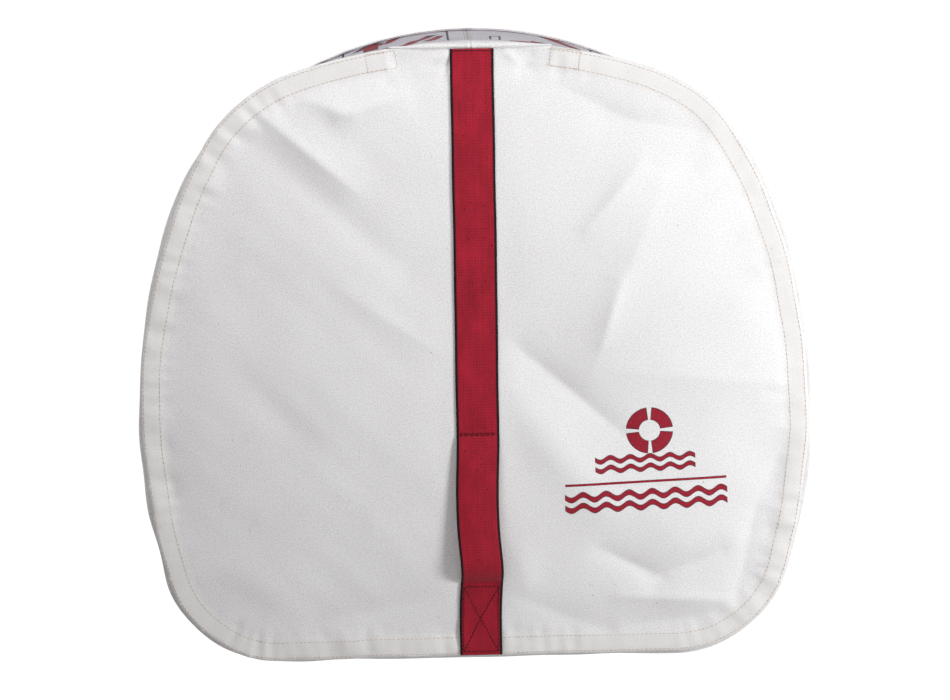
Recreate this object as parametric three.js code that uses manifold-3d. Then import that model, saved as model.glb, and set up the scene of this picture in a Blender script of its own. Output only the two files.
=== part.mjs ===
// A rescue buoy in its soft case. A horseshoe buoy and its line bag sit in a deep fabric case that is
// strapped to a boat's rail. The case's front is a flap, sewn to the case along its top and held all round
// by hook and loop tape on an outward brim. A webbing strap down the flap ends in the handle that pulls it
// open. Millimetres, +Z up, the front faces -Y. The origin is at the height of the rail, on the outer face
// of the patch that bears on it.
import * as THREE from "three";
import { mergeVertices } from "three/addons/utils/BufferGeometryUtils.js";
import Module from "manifold-3d";

const wasm = await Module();
wasm.setup();

// ---- Driving dimensions -------------------------------------------------------------------------
const GAP = 0.3; // between two pieces that touch
const FABRIC = 2.0; // coated fabric with its seam allowance
const TAPE = 1.2; // hook tape and loop tape
const WEB = 2.0; // webbing
const ARC_STEP = 6; // degrees of arc between two points of an outline

// Half of the flap's outline, from its top centre to its flat bottom, as arcs that run on from each other.
const FLAP_ARCS = [
  { radius: 532, sweep: 18 },
  { radius: 149.5, sweep: 45 },
  { radius: 555, sweep: 42.5 },
  { radius: 110, sweep: 74.5 },
];
const BRIM_WIDTH = 24;
const BRIM_PROUD = 2; // the brim shows this much past the flap
const HEM_WIDTH = 20;
const CASE_DEPTH = 140; // back panel's outer face to flap's outer face
const GUSSET_RISE = 1.5; // the gusset's arch stands this far above the flap's top
const CROWN_SWEEP = 26; // degrees of the gusset's and the buoy's top arc
const HINGE_HALF = 75; // half of the sewn top edge
const ROLL_RADIUS = 3.5;
const RAIL_BELOW_TOP = 105.5;

const BUOY_FRONT = -118;
const BUOY_BACK = -14;
const BUOY_CLEAR = 9; // buoy's side to the gusset's outer face
const BUOY_TOP_CLEAR = 27; // buoy's top to the hinge
const COVER = 1.8;
const THROAT_HALF = 132;
const ARCH_THICKNESS = 138;
const LEG_FILLET = 26;

const STRAP_WIDTH = 40;
const HANDLE_LENGTH = 143;
const HANDLE_FOOT = 74; // bottom of the handle, above the flap's bottom edge
const HANDLE_BULGE = 16;

const PATCH = { width: 156, above: 44, below: 52, thickness: 1.2 }; // chafe patch, from the rail's axis
const PATCH_FACE = GAP + PATCH.thickness;

const RAIL_WEB_WIDTH = 25;
const RAIL_RADIUS = 12.5;
const RAIL_STRAP_X = 118;

// ---- Outlines -----------------------------------------------------------------------------------
const rad = THREE.MathUtils.degToRad;
const drop = (arc, from) => arc.radius * (Math.cos(rad(from)) - Math.cos(rad(from + arc.sweep)));
const reach = (arc, from) => arc.radius * (Math.sin(rad(from + arc.sweep)) - Math.sin(rad(from)));

function total(arcs, measure) {
  let from = 0;
  let sum = 0;
  for (const arc of arcs) {
    sum += measure(arc, from);
    from += arc.sweep;
  }
  return sum;
}

const grown = (arcs, by) => arcs.map(({ radius, sweep }) => ({ radius: radius + by, sweep }));

const FLAP_TOP = total(FLAP_ARCS, drop); // the flap's bottom is at height 0 until the whole part is lowered
const FLAP_FRONT = -CASE_DEPTH;
const FLAP_BACK = FLAP_FRONT + FABRIC;
const HOOK_BACK = FLAP_BACK + GAP + TAPE;
const LOOP_BACK = HOOK_BACK + GAP + TAPE;
const BRIM_FRONT = LOOP_BACK + GAP;
const BRIM_BACK = BRIM_FRONT + FABRIC;
const GUSSET_FRONT = BRIM_BACK + GAP;
const GUSSET_BACK = -FABRIC - GAP;
const RAIL_HEIGHT = FLAP_TOP - RAIL_BELOW_TOP;

// An outline that follows the flap's sides and bottom at a distance, under an arch with its own top. Its
// crown and shoulder radii are the two that make it as wide and as high as that.
function archedOutline(inset, top) {
  const sides = grown(FLAP_ARCS.slice(2), -inset);
  const turn = FLAP_ARCS[0].sweep + FLAP_ARCS[1].sweep;
  const width = total(FLAP_ARCS.slice(0, 2), reach) - inset * Math.sin(rad(turn));
  const lower = sides[0].radius * (Math.cos(rad(turn)) - Math.cos(rad(turn + sides[0].sweep)));
  const corner = sides[1].radius * (Math.cos(rad(turn + sides[0].sweep)) + 1);
  const height = top - inset - lower - corner;
  const [sinA, cosA] = [Math.sin(rad(CROWN_SWEEP)), Math.cos(rad(CROWN_SWEEP))];
  const [sinB, cosB] = [Math.sin(rad(turn)) - sinA, cosA - Math.cos(rad(turn))];
  const shoulder = (height - (width / sinA) * (1 - cosA)) / (cosB - (sinB / sinA) * (1 - cosA));
  const crown = (width - sinB * shoulder) / sinA;
  const arcs = [
    { radius: crown, sweep: CROWN_SWEEP },
    { radius: shoulder, sweep: turn - CROWN_SWEEP },
    ...sides,
  ];
  return { arcs, top };
}

// Points from the top centre round the right side to where the flat bottom begins.
function rightHalf({ arcs, top }) {
  const points = [[0, top]];
  let [x, z, heading] = [0, top, 0];
  for (const { radius, sweep } of arcs) {
    const steps = Math.ceil(sweep / ARC_STEP);
    const [centreX, centreZ] = [x - radius * Math.sin(rad(heading)), z - radius * Math.cos(rad(heading))];
    for (let i = 1; i <= steps; i++) {
      const angle = rad(heading + (sweep * i) / steps);
      points.push([centreX + radius * Math.sin(angle), centreZ + radius * Math.cos(angle)]);
    }
    [x, z] = points[points.length - 1];
    heading += sweep;
  }
  return points;
}

function wholeOutline(outline) {
  const right = rightHalf(outline);
  const left = right.slice(1).map(([x, z]) => [-x, z]);
  return [...right, ...left.reverse()];
}

const flapOutline = (offset) => ({ arcs: grown(FLAP_ARCS, offset), top: FLAP_TOP + offset });
const GUSSET = archedOutline(BRIM_WIDTH, FLAP_TOP + GUSSET_RISE);
const gussetOutline = (offset) => ({ arcs: grown(GUSSET.arcs, offset), top: GUSSET.top + offset });

// The hinge runs through the roll, along the flap's top edge, which is straight between its two ends.
const HINGE_TOP_EDGE = FLAP_TOP - FLAP_ARCS[0].radius + Math.sqrt(FLAP_ARCS[0].radius ** 2 - HINGE_HALF ** 2);
const HINGE_Z = HINGE_TOP_EDGE + GAP + ROLL_RADIUS;
const HINGE_Y = (FLAP_FRONT + FLAP_BACK) / 2;

// ---- Making solids ------------------------------------------------------------------------------
const FACING_FRONT = new THREE.Matrix4().makeBasis(
  new THREE.Vector3(1, 0, 0),
  new THREE.Vector3(0, 0, 1),
  new THREE.Vector3(0, -1, 0),
);
const FACING_SIDE = new THREE.Matrix4().makeBasis(
  new THREE.Vector3(0, 1, 0),
  new THREE.Vector3(0, 0, 1),
  new THREE.Vector3(1, 0, 0),
);

const shapeOf = (points) => new THREE.Shape(points.map(([u, v]) => new THREE.Vector2(u, v)));
const prism = (points, depth) => new THREE.ExtrudeGeometry(shapeOf(points), { depth, bevelEnabled: false });

// A plate whose outline is in XZ, between two planes of constant y.
function plate(points, front, back) {
  return prism(points, back - front).applyMatrix4(FACING_FRONT).translate(0, back, 0);
}

function box(low, high) {
  const size = high.map((h, i) => h - low[i]);
  const middle = high.map((h, i) => (h + low[i]) / 2);
  return new THREE.BoxGeometry(...size).translate(...middle);
}

function solid(geometry) {
  const bare = geometry.index ? geometry.toNonIndexed() : geometry.clone();
  bare.deleteAttribute("normal");
  bare.deleteAttribute("uv");
  const merged = mergeVertices(bare, 1e-4);
  return new wasm.Manifold(
    new wasm.Mesh({
      numProp: 3,
      vertProperties: merged.attributes.position.array,
      triVerts: new Uint32Array(merged.index.array),
    }),
  );
}

function geometryOf(manifold) {
  const mesh = manifold.getMesh();
  const geometry = new THREE.BufferGeometry();
  geometry.setAttribute("position", new THREE.BufferAttribute(new Float32Array(mesh.vertProperties), 3));
  geometry.setIndex(new THREE.BufferAttribute(new Uint32Array(mesh.triVerts), 1));
  return geometry;
}

const cut = (body, ...cutters) => cutters.reduce((left, c) => left.subtract(solid(c)), solid(body));
const join = (...bodies) => bodies.slice(1).reduce((whole, b) => whole.add(solid(b)), solid(bodies[0]));

// A band of webbing: its side view is a line with a thickness, and it is as wide as the webbing.
function bandSide(line, thickness) {
  const outer = [];
  const inner = [];
  line.forEach(([u, v], i) => {
    const [u0, v0] = line[Math.max(i - 1, 0)];
    const [u1, v1] = line[Math.min(i + 1, line.length - 1)];
    const length = Math.hypot(u1 - u0, v1 - v0);
    const [nu, nv] = [(-(v1 - v0) / length) * (thickness / 2), ((u1 - u0) / length) * (thickness / 2)];
    outer.push([u + nu, v + nv]);
    inner.push([u - nu, v - nv]);
  });
  return [...outer, ...inner.reverse()];
}

const TURN = 2; // the least that a corner of webbing is rounded

// A line of straight runs. Each corner is [u, v, rounding]: it is rounded over that length of its two runs.
function roundedLine(corners) {
  const at = corners.map(([u, v]) => new THREE.Vector2(u, v));
  const path = new THREE.Path().moveTo(at[0].x, at[0].y);
  for (let i = 1; i < at.length - 1; i++) {
    const rounding = corners[i][2] ?? TURN;
    const along = (other) => {
      const run = other.clone().sub(at[i]);
      return at[i].clone().add(run.setLength(Math.min(rounding, 0.45 * run.length())));
    };
    const [start, end] = [along(at[i - 1]), along(at[i + 1])];
    path.lineTo(start.x, start.y);
    path.quadraticCurveTo(at[i].x, at[i].y, end.x, end.y);
  }
  path.lineTo(at[at.length - 1].x, at[at.length - 1].y);
  return path.getPoints(3).map((p) => [p.x, p.y]);
}

// Webbing whose line lies in YZ, and webbing whose line lies in XY.
function standingBand(line, width, x) {
  return prism(bandSide(line, WEB), width).applyMatrix4(FACING_SIDE).translate(x - width / 2, 0, 0);
}

const lyingBand = (line, width, z) => prism(bandSide(line, WEB), width).translate(0, 0, z - width / 2);

function roundedRectangle(width, height, radius) {
  const points = [];
  const corners = [
    [width / 2 - radius, height / 2 - radius, 0],
    [-width / 2 + radius, height / 2 - radius, 90],
    [-width / 2 + radius, -height / 2 + radius, 180],
    [width / 2 - radius, -height / 2 + radius, 270],
  ];
  for (const [u, v, from] of corners) {
    for (let angle = from; angle <= from + 90; angle += 30) {
      points.push([u + radius * Math.cos(rad(angle)), v + radius * Math.sin(rad(angle))]);
    }
  }
  return points;
}

// ---- Materials ----------------------------------------------------------------------------------
const finish = (color, roughness, metalness = 0) =>
  new THREE.MeshStandardMaterial({ color, roughness, metalness });
const MATERIAL = {
  fabric: finish(0xe4dfdf, 0.6),
  tape: finish(0xd6d2cc, 0.9),
  redWeb: finish(0x9b2236, 0.8),
  blackWeb: finish(0x222226, 0.85),
  buoyCover: finish(0xf2b705, 0.5),
  foam: finish(0xd8d8d4, 0.9),
  reflector: finish(0xc9ccd0, 0.35),
  acetal: finish(0x1a1a1c, 0.45),
  steel: finish(0xb8babd, 0.3, 1),
  bag: finish(0xd84a1f, 0.7),
};

const part = new THREE.Group();
const wholeCase = new THREE.Group();
wholeCase.position.set(0, -PATCH_FACE, -RAIL_HEIGHT);
part.add(wholeCase);

function add(name, geometry, material, group = wholeCase) {
  const mesh = new THREE.Mesh(geometry, material);
  mesh.name = name;
  group.add(mesh);
  return mesh;
}

// ---- Case ---------------------------------------------------------------------------------------
const EYELET_HOLE = 6.2;
const DRAIN_X = 120;
const DRAIN_Y = -68;
const LINE_EYELET_Z = 396;

const bore = (radius, length) => new THREE.CylinderGeometry(radius, radius, length, 24);

function makeBackPanel() {
  const hole = bore(EYELET_HOLE, 10).translate(0, 0, LINE_EYELET_Z);
  const panel = cut(plate(wholeOutline(gussetOutline(0)), -FABRIC, 0), hole);
  add("case_back_panel", geometryOf(panel), MATERIAL.fabric);
}

// The gusset is two strips, sewn end to end at the top centre and the bottom centre.
function makeGusset() {
  const wall = cut(
    plate(wholeOutline(gussetOutline(0)), GUSSET_FRONT, GUSSET_BACK),
    plate(wholeOutline(gussetOutline(-FABRIC)), GUSSET_FRONT - 1, GUSSET_BACK + 1),
  );
  const far = 400;
  for (const [side, name] of [
    [-1, "case_gusset_left"],
    [1, "case_gusset_right"],
  ]) {
    const half = side < 0 ? [-far, -GAP / 2] : [GAP / 2, far];
    const keep = solid(box([half[0], -200, -10], [half[1], 10, 700]));
    const drain = bore(EYELET_HOLE, 20)
      .rotateX(Math.PI / 2)
      .translate(side * DRAIN_X, DRAIN_Y, BRIM_WIDTH);
    add(name, geometryOf(wall.intersect(keep).subtract(solid(drain))), MATERIAL.fabric);
  }
}

// A patch of the same fabric on the back panel, between the rail straps, where the case bears on the rail.
function makeChafePatch() {
  const low = [-PATCH.width / 2, GAP, RAIL_HEIGHT - PATCH.below];
  const high = [PATCH.width / 2, PATCH_FACE, RAIL_HEIGHT + PATCH.above];
  add("case_chafe_patch", box(low, high), MATERIAL.fabric);
}

const BINDING = 1.2;
const BINDING_WIDTH = 11;

// Tape folded round the seam between the gusset and the back panel.
function makeSeamBinding() {
  const outside = plate(wholeOutline(gussetOutline(GAP + BINDING)), -BINDING_WIDTH, GAP + BINDING);
  const caseItself = plate(wholeOutline(gussetOutline(GAP)), -BINDING_WIDTH - 1, GAP);
  const behind = plate(wholeOutline(gussetOutline(-BINDING_WIDTH)), -5, 10);
  add("case_seam_binding", geometryOf(cut(outside, caseItself, behind)), MATERIAL.fabric);
}

// A ring that follows the flap's edge, open at the top between the two ends of the sewn hinge.
function edgeRing(outer, inner, front, back) {
  const ring = cut(
    plate(wholeOutline(flapOutline(outer)), front, back),
    plate(wholeOutline(flapOutline(inner)), front - 1, back + 1),
    box([-HINGE_HALF - GAP, front - 1, FLAP_TOP / 2], [HINGE_HALF + GAP, back + 1, FLAP_TOP + 10]),
  );
  return geometryOf(ring);
}

function makeBrim() {
  add("case_brim", edgeRing(BRIM_PROUD, -BRIM_WIDTH, BRIM_FRONT, BRIM_BACK), MATERIAL.fabric);
  const tapeFront = LOOP_BACK - TAPE;
  add("case_loop_tape", edgeRing(-1, -HEM_WIDTH - 1, tapeFront, LOOP_BACK), MATERIAL.tape);
}

// The gusset's front edge at the top: it turns down, then rolls forward into the seam that the flap hangs on.
function makeHingeFold() {
  const half = HINGE_HALF - GAP;
  const roll = new THREE.CylinderGeometry(ROLL_RADIUS, ROLL_RADIUS, 2 * half, 16)
    .rotateZ(Math.PI / 2)
    .translate(0, HINGE_Y, HINGE_Z);
  const neck = box([-half, HINGE_Y, HINGE_Z - 1], [half, BRIM_BACK, HINGE_Z + 1]);
  const turnDown = box([-half, BRIM_FRONT, HINGE_Z - ROLL_RADIUS], [half, BRIM_BACK, GUSSET.top + 5]);
  const underArch = plate(wholeOutline(gussetOutline(0)), BRIM_FRONT - 1, BRIM_BACK + 1);
  const down = solid(turnDown).intersect(solid(underArch));
  add("case_hinge_fold", geometryOf(join(roll, neck).add(down)), MATERIAL.fabric);
}

// ---- Eyelets ------------------------------------------------------------------------------------
// A two-piece eyelet, closed over the edge of its hole, turned about +Y with its middle at the origin.
function eyelet() {
  const [throat, flange, grip, lip] = [5, 10, FABRIC / 2 + GAP, FABRIC / 2 + GAP + 1.1];
  const collar = EYELET_HOLE - GAP;
  const profile = [
    [throat, -lip + 0.6],
    [throat + 1, -lip],
    [flange - 1, -lip],
    [flange, -grip],
    [collar, -grip],
    [collar, grip],
    [flange, grip],
    [flange - 1, lip],
    [throat + 1, lip],
    [throat, lip - 0.6],
    [throat, -lip + 0.6],
  ];
  return new THREE.LatheGeometry(
    profile.map(([r, y]) => new THREE.Vector2(r, y)),
    20,
  );
}

function makeEyelets() {
  add("line_exit_eyelet", eyelet(), MATERIAL.steel).position.set(0, -FABRIC / 2, LINE_EYELET_Z);
  for (const [side, name] of [
    [-1, "drain_eyelet_left"],
    [1, "drain_eyelet_right"],
  ]) {
    const mesh = add(name, eyelet(), MATERIAL.steel);
    mesh.rotation.x = Math.PI / 2;
    mesh.position.set(side * DRAIN_X, DRAIN_Y, BRIM_WIDTH + FABRIC / 2);
  }
}

// ---- Flap ---------------------------------------------------------------------------------------
function makeFlap() {
  const aboveHinge = box([-400, -200, HINGE_TOP_EDGE], [400, 0, FLAP_TOP + 10]);
  const sheet = cut(plate(wholeOutline(flapOutline(0)), FLAP_FRONT, FLAP_BACK), aboveHinge);
  add("flap_panel", geometryOf(sheet), MATERIAL.fabric);
  const tapeBack = FLAP_BACK + GAP + TAPE;
  add("flap_hook_tape", edgeRing(-1, -HEM_WIDTH - 1, FLAP_BACK + GAP, tapeBack), MATERIAL.tape);
}

// The strap lies flat on the flap, except along the handle, where it stands off far enough for a hand.
function makePullStrap() {
  const resting = FLAP_FRONT - GAP - WEB / 2;
  const handleTop = HANDLE_FOOT + HANDLE_LENGTH;
  const line = [[resting, 1.5]];
  const steps = 16;
  for (let i = 0; i <= steps; i++) {
    const lift = HANDLE_BULGE * Math.sin((Math.PI * i) / steps) ** 1.4;
    line.push([resting - lift, HANDLE_FOOT + (HANDLE_LENGTH * i) / steps]);
  }
  line.push([resting, handleTop + 20], [resting, HINGE_TOP_EDGE - 0.5]);
  add("flap_pull_strap", standingBand(line, STRAP_WIDTH, 0), MATERIAL.redWeb);
}

// ---- Buoy ---------------------------------------------------------------------------------------
const BUOY_TOP = HINGE_Z - BUOY_TOP_CLEAR;
const BUOY = archedOutline(BRIM_WIDTH + BUOY_CLEAR, BUOY_TOP);
const BUOY_BOTTOM = BRIM_WIDTH + BUOY_CLEAR;
const THROAT_TOP = BUOY_TOP - ARCH_THICKNESS;

// The horseshoe, shrunk all round by an inset. Its throat is a round arch, open at the bottom.
function horseshoe(inset) {
  const outline = { arcs: grown(BUOY.arcs, -inset), top: BUOY.top - inset };
  const right = rightHalf(outline);
  const bottom = BUOY_BOTTOM + inset;
  const half = THROAT_HALF + inset;
  const throat = [];
  const fillet = LEG_FILLET - inset;
  for (let angle = 0; angle <= 90; angle += 18) {
    const a = rad(angle);
    throat.push([half + fillet - fillet * Math.sin(a), bottom + fillet - fillet * Math.cos(a)]);
  }
  const archCentre = THROAT_TOP - THROAT_HALF;
  for (let angle = 0; angle <= 90; angle += 7.5) {
    throat.push([half * Math.cos(rad(angle)), archCentre + half * Math.sin(rad(angle))]);
  }
  const rightSide = [...right, ...throat];
  const middle = rightSide.pop();
  const leftSide = rightSide.slice(1).map(([x, z]) => [-x, z]);
  return [...rightSide, [0, middle[1]], ...leftSide.reverse()];
}

const BUOY_MIDDLE = (BUOY_FRONT + BUOY_BACK) / 2;

function makeBuoyBody() {
  const inner = COVER + GAP;
  add("buoy_foam_core", plate(horseshoe(inner), BUOY_FRONT + inner, BUOY_BACK - inner), MATERIAL.foam);
  const front = cut(
    plate(horseshoe(0), BUOY_FRONT, BUOY_MIDDLE - GAP / 2),
    plate(horseshoe(COVER), BUOY_FRONT + COVER, BUOY_MIDDLE + 1),
  );
  const back = cut(
    plate(horseshoe(0), BUOY_MIDDLE + GAP / 2, BUOY_BACK),
    plate(horseshoe(COVER), BUOY_MIDDLE - 1, BUOY_BACK - COVER),
  );
  add("buoy_cover_front", geometryOf(front), MATERIAL.buoyCover);
  add("buoy_cover_back", geometryOf(back), MATERIAL.buoyCover);
}

const LIFT_WEB_WIDTH = 50;

// Webbing round the outside of the horseshoe, from the foot of one leg to the foot of the other.
function makeLiftingWeb() {
  const [front, back] = [BUOY_MIDDLE - LIFT_WEB_WIDTH / 2, BUOY_MIDDLE + LIFT_WEB_WIDTH / 2];
  const offset = (by) => wholeOutline({ arcs: grown(BUOY.arcs, by), top: BUOY.top + by });
  const mouth = THROAT_HALF + LEG_FILLET + 4;
  const band = cut(
    plate(offset(GAP + WEB), front, back),
    plate(offset(GAP), front - 1, back + 1),
    box([-mouth, front - 1, 0], [mouth, back + 1, BUOY_BOTTOM + 60]),
  );
  add("buoy_lifting_web", geometryOf(band), MATERIAL.redWeb);
}

const REFLECTOR_WIDTH = 50;
const REFLECTOR_THICKNESS = 0.6;

// Reflective tape across the front of the horseshoe: two patches on the arch and one on each leg.
function makeReflectors() {
  const spots = [
    ["reflector_arch_left", -1, 42],
    ["reflector_arch_right", 1, 42],
    ["reflector_leg_left", -1, 100],
    ["reflector_leg_right", 1, 100],
  ];
  const face = plate(horseshoe(6), BUOY_FRONT - GAP - REFLECTOR_THICKNESS, BUOY_FRONT - GAP);
  for (const [name, side, angle] of spots) {
    const centre = THROAT_TOP - THROAT_HALF;
    const across = box([-REFLECTOR_WIDTH / 2, -200, 40], [REFLECTOR_WIDTH / 2, 0, 600])
      .rotateY(rad(side * angle))
      .translate(0, 0, centre);
    add(name, geometryOf(solid(face).intersect(solid(across))), MATERIAL.reflector);
  }
}

// ---- Side-release buckles -----------------------------------------------------------------------
// Drawn in XY with its length along +Y and its thickness along Z. The socket's mouth is at y 0, and the plug
// enters it along +Y. Webbing goes round the bar at each end.
const BUCKLE = {
  width: 33,
  thickness: 9.6,
  housing: 30, // length of the socket's housing
  plugBase: 7, // length of the plug's shoulder
  slot: 5,
  bar: 4.5,
  barThickness: 4,
  cavityWidth: 27,
  cavityHeight: 5.4,
};
const SOCKET_BAR = BUCKLE.housing + BUCKLE.slot;
const SOCKET_LENGTH = SOCKET_BAR + BUCKLE.bar;
const PLUG_BAR = -(GAP + BUCKLE.plugBase + BUCKLE.slot);
const PLUG_END = PLUG_BAR - BUCKLE.bar;

const block = (width, from, to, thickness, x = 0, z = 0) =>
  box([x - width / 2, from, z - thickness / 2], [x + width / 2, to, z + thickness / 2]);

// A rounded plate from y 0 to a far end, with the slot for the webbing and the thin bar at that end.
function buckleEnd(near, far, thickness) {
  const { width, slot, bar, barThickness } = BUCKLE;
  const away = Math.sign(far - near);
  const between = (from, to, height, z = 0) =>
    block(width - 7, Math.min(from, to), Math.max(from, to), height, 0, z);
  const outside = prism(roundedRectangle(width, Math.abs(far - near), 3.5), thickness)
    .translate(0, (near + far) / 2, -thickness / 2);
  const barStart = far - away * bar;
  const opening = between(barStart - away * slot, barStart, thickness + 2);
  const relief = [-1, 1].map((face) =>
    between(barStart - away, far + away, thickness, (face * (barThickness + thickness)) / 2),
  );
  return cut(outside, opening, ...relief);
}

function buckleSocket() {
  const { thickness, housing, cavityWidth, cavityHeight, width } = BUCKLE;
  const cavity = block(cavityWidth, -1, housing - 4, cavityHeight);
  const windows = block(width + 2, 10, 23, cavityHeight);
  const body = buckleEnd(0, SOCKET_LENGTH, thickness);
  return geometryOf(body.subtract(solid(cavity)).subtract(solid(windows)));
}

function bucklePlug() {
  const { thickness, cavityWidth } = BUCKLE;
  const tongue = block(6, -1, 21, 4);
  const prongs = [-1, 1].map((side) => block(4, -1, 22, 4.6, side * 9.4));
  const barbs = [-1, 1].map((side) => block(4, 11.5, 21.5, 4.6, side * (cavityWidth / 2 - 2 - GAP)));
  const shoulder = buckleEnd(-GAP, PLUG_END, thickness - 1);
  return geometryOf([tongue, ...prongs, ...barbs].reduce((plug, piece) => plug.add(solid(piece)), shoulder));
}

const WEB_OFF_BAR = BUCKLE.barThickness / 2 + GAP + WEB / 2; // webbing's middle to the bar's middle
const TURNED_BACK = 9; // how far the webbing's end runs back over itself

// ---- Rail straps --------------------------------------------------------------------------------
const PANEL_FACE = GAP + WEB / 2; // middle of webbing that lies on the back panel
const RAIL_Y = RAIL_RADIUS + 4;
const BEHIND_RAIL = RAIL_Y + RAIL_RADIUS + 1.5 + WEB / 2; // middle of webbing that runs down behind the rail
const RAIL_BUCKLE_Y = BEHIND_RAIL + WEB_OFF_BAR;
const RAIL_MOUTH_Z = -52; // the socket's mouth, from the rail's axis

// Each strap leaves the panel above the rail, goes over it and down behind it to the buckle's socket. From
// the plug a second length comes back to the panel below.
function makeRailStrap(side, name) {
  const x = side * RAIL_STRAP_X;
  const turnZ = RAIL_MOUTH_Z + SOCKET_BAR - GAP - WEB / 2;
  const over = roundedLine([
    [PANEL_FACE, 62],
    [PANEL_FACE, 26, 8],
    [RAIL_Y - 6, RAIL_RADIUS + 3, 8],
    [RAIL_Y + 6, RAIL_RADIUS + 3, 8],
    [BEHIND_RAIL, 4, 8],
    [BEHIND_RAIL, turnZ],
    [RAIL_BUCKLE_Y + WEB_OFF_BAR, turnZ],
    [RAIL_BUCKLE_Y + WEB_OFF_BAR, turnZ + TURNED_BACK],
  ]);
  const plugTurnZ = RAIL_MOUTH_Z + PLUG_BAR + GAP + WEB / 2;
  const under = roundedLine([
    [RAIL_BUCKLE_Y + WEB_OFF_BAR, plugTurnZ - TURNED_BACK],
    [RAIL_BUCKLE_Y + WEB_OFF_BAR, plugTurnZ],
    [BEHIND_RAIL, plugTurnZ],
    [BEHIND_RAIL, plugTurnZ - 22, 10],
    [PANEL_FACE, plugTurnZ - 62, 10],
    [PANEL_FACE, plugTurnZ - 98],
  ]);
  const group = new THREE.Group();
  group.position.set(0, 0, RAIL_HEIGHT);
  wholeCase.add(group);
  add(`rail_strap_${name}`, standingBand(over.reverse(), RAIL_WEB_WIDTH, x), MATERIAL.blackWeb, group);
  add(`rail_tail_${name}`, standingBand(under.reverse(), RAIL_WEB_WIDTH, x), MATERIAL.blackWeb, group);
  const buckle = new THREE.Group();
  buckle.position.set(x, RAIL_BUCKLE_Y, RAIL_MOUTH_Z);
  buckle.quaternion.setFromRotationMatrix(FACING_FRONT);
  group.add(buckle);
  add(`rail_socket_${name}`, buckleSocket(), MATERIAL.acetal, buckle);
  add(`rail_plug_${name}`, bucklePlug(), MATERIAL.acetal, buckle);
}

const TIE_X = 165;
const TIE_Z = 96;

// A loop of webbing low on the back, for a lashing to the lower rail.
function makeTieLoop(side, name) {
  const line = roundedLine([
    [PANEL_FACE, -42],
    [PANEL_FACE, -20, 7],
    [PANEL_FACE + 13, -9, 7],
    [PANEL_FACE + 13, 9, 7],
    [PANEL_FACE, 20, 7],
    [PANEL_FACE, 42],
  ]);
  const mesh = add(`tie_loop_${name}`, standingBand(line, RAIL_WEB_WIDTH, 0), MATERIAL.blackWeb);
  mesh.position.set(side * TIE_X, 0, TIE_Z);
}

// ---- Mouth strap of the buoy --------------------------------------------------------------------
const MOUTH_Z = BUOY_BOTTOM + 92;
const MOUTH_END_X = 214;
const MOUTH_Y = BUOY_FRONT - GAP - WEB / 2; // middle of the webbing on the cover
const MOUTH_BUCKLE_Y = MOUTH_Y - WEB_OFF_BAR;
const MOUTH_BUCKLE_X = 10; // the socket's mouth: the plug comes in from the right
const SOCKET_TO_LEFT = new THREE.Matrix4().makeBasis(
  new THREE.Vector3(0, 0, 1),
  new THREE.Vector3(-1, 0, 0),
  new THREE.Vector3(0, -1, 0),
);

// Webbing across the mouth of the horseshoe, in two lengths that a buckle joins.
function makeMouthStrap() {
  for (const [name, side, turnX] of [
    ["left", -1, MOUTH_BUCKLE_X - SOCKET_BAR + GAP + WEB / 2],
    ["right", 1, MOUTH_BUCKLE_X - PLUG_BAR - GAP - WEB / 2],
  ]) {
    const line = roundedLine([
      [side * MOUTH_END_X, MOUTH_Y],
      [turnX, MOUTH_Y],
      [turnX, MOUTH_BUCKLE_Y - WEB_OFF_BAR],
      [turnX + side * TURNED_BACK, MOUTH_BUCKLE_Y - WEB_OFF_BAR],
    ]);
    const forward = side < 0 ? line : line.reverse();
    add(`mouth_strap_${name}`, lyingBand(forward, RAIL_WEB_WIDTH, MOUTH_Z), MATERIAL.redWeb);
  }
  const buckle = new THREE.Group();
  buckle.position.set(MOUTH_BUCKLE_X, MOUTH_BUCKLE_Y, MOUTH_Z);
  buckle.quaternion.setFromRotationMatrix(SOCKET_TO_LEFT);
  wholeCase.add(buckle);
  add("mouth_socket", buckleSocket(), MATERIAL.acetal, buckle);
  add("mouth_plug", bucklePlug(), MATERIAL.acetal, buckle);
}

// ---- Line bag -----------------------------------------------------------------------------------
const BAG = { width: 200, height: 214, depth: 54, bottom: 122, corner: 46 };

// The bag that the rescue line is packed in, sewn to the back panel inside the horseshoe's throat.
function makeLineBag() {
  const middle = BAG.bottom + BAG.height / 2;
  const front = -FABRIC - GAP - BAG.depth;
  const bag = plate(roundedRectangle(BAG.width, BAG.height, BAG.corner), front, -FABRIC - GAP);
  add("line_bag", bag, MATERIAL.bag).position.z = middle;
  const web = box([-BAG.width / 2 + 8, front - GAP - WEB, -12.5], [BAG.width / 2 - 8, front - GAP, 12.5]);
  add("line_bag_strap", web, MATERIAL.blackWeb).position.z = middle + BAG.height / 2 - 52;
}

makeBackPanel();
makeGusset();
makeChafePatch();
makeSeamBinding();
makeBrim();
makeHingeFold();
makeEyelets();
makeFlap();
makePullStrap();
makeBuoyBody();
makeLiftingWeb();
makeReflectors();
makeMouthStrap();
makeLineBag();
for (const [side, name] of [
  [-1, "left"],
  [1, "right"],
]) {
  makeRailStrap(side, name);
  makeTieLoop(side, name);
}

export default part;
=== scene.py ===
"""The looks of a rescue buoy in its soft case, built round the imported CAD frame.

The case hangs closed, its flap towards -Y. Fabric panels are cut flat, as a line of (u, v) points in metres,
filled with triangles, and then placed in space by a function of their own.
"""

import math

import bmesh
import bpy
import numpy as np
from mathutils import Matrix, Vector
from mathutils.bvhtree import BVHTree
from mathutils.geometry import delaunay_2d_cdt
from mathutils.kdtree import KDTree


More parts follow.
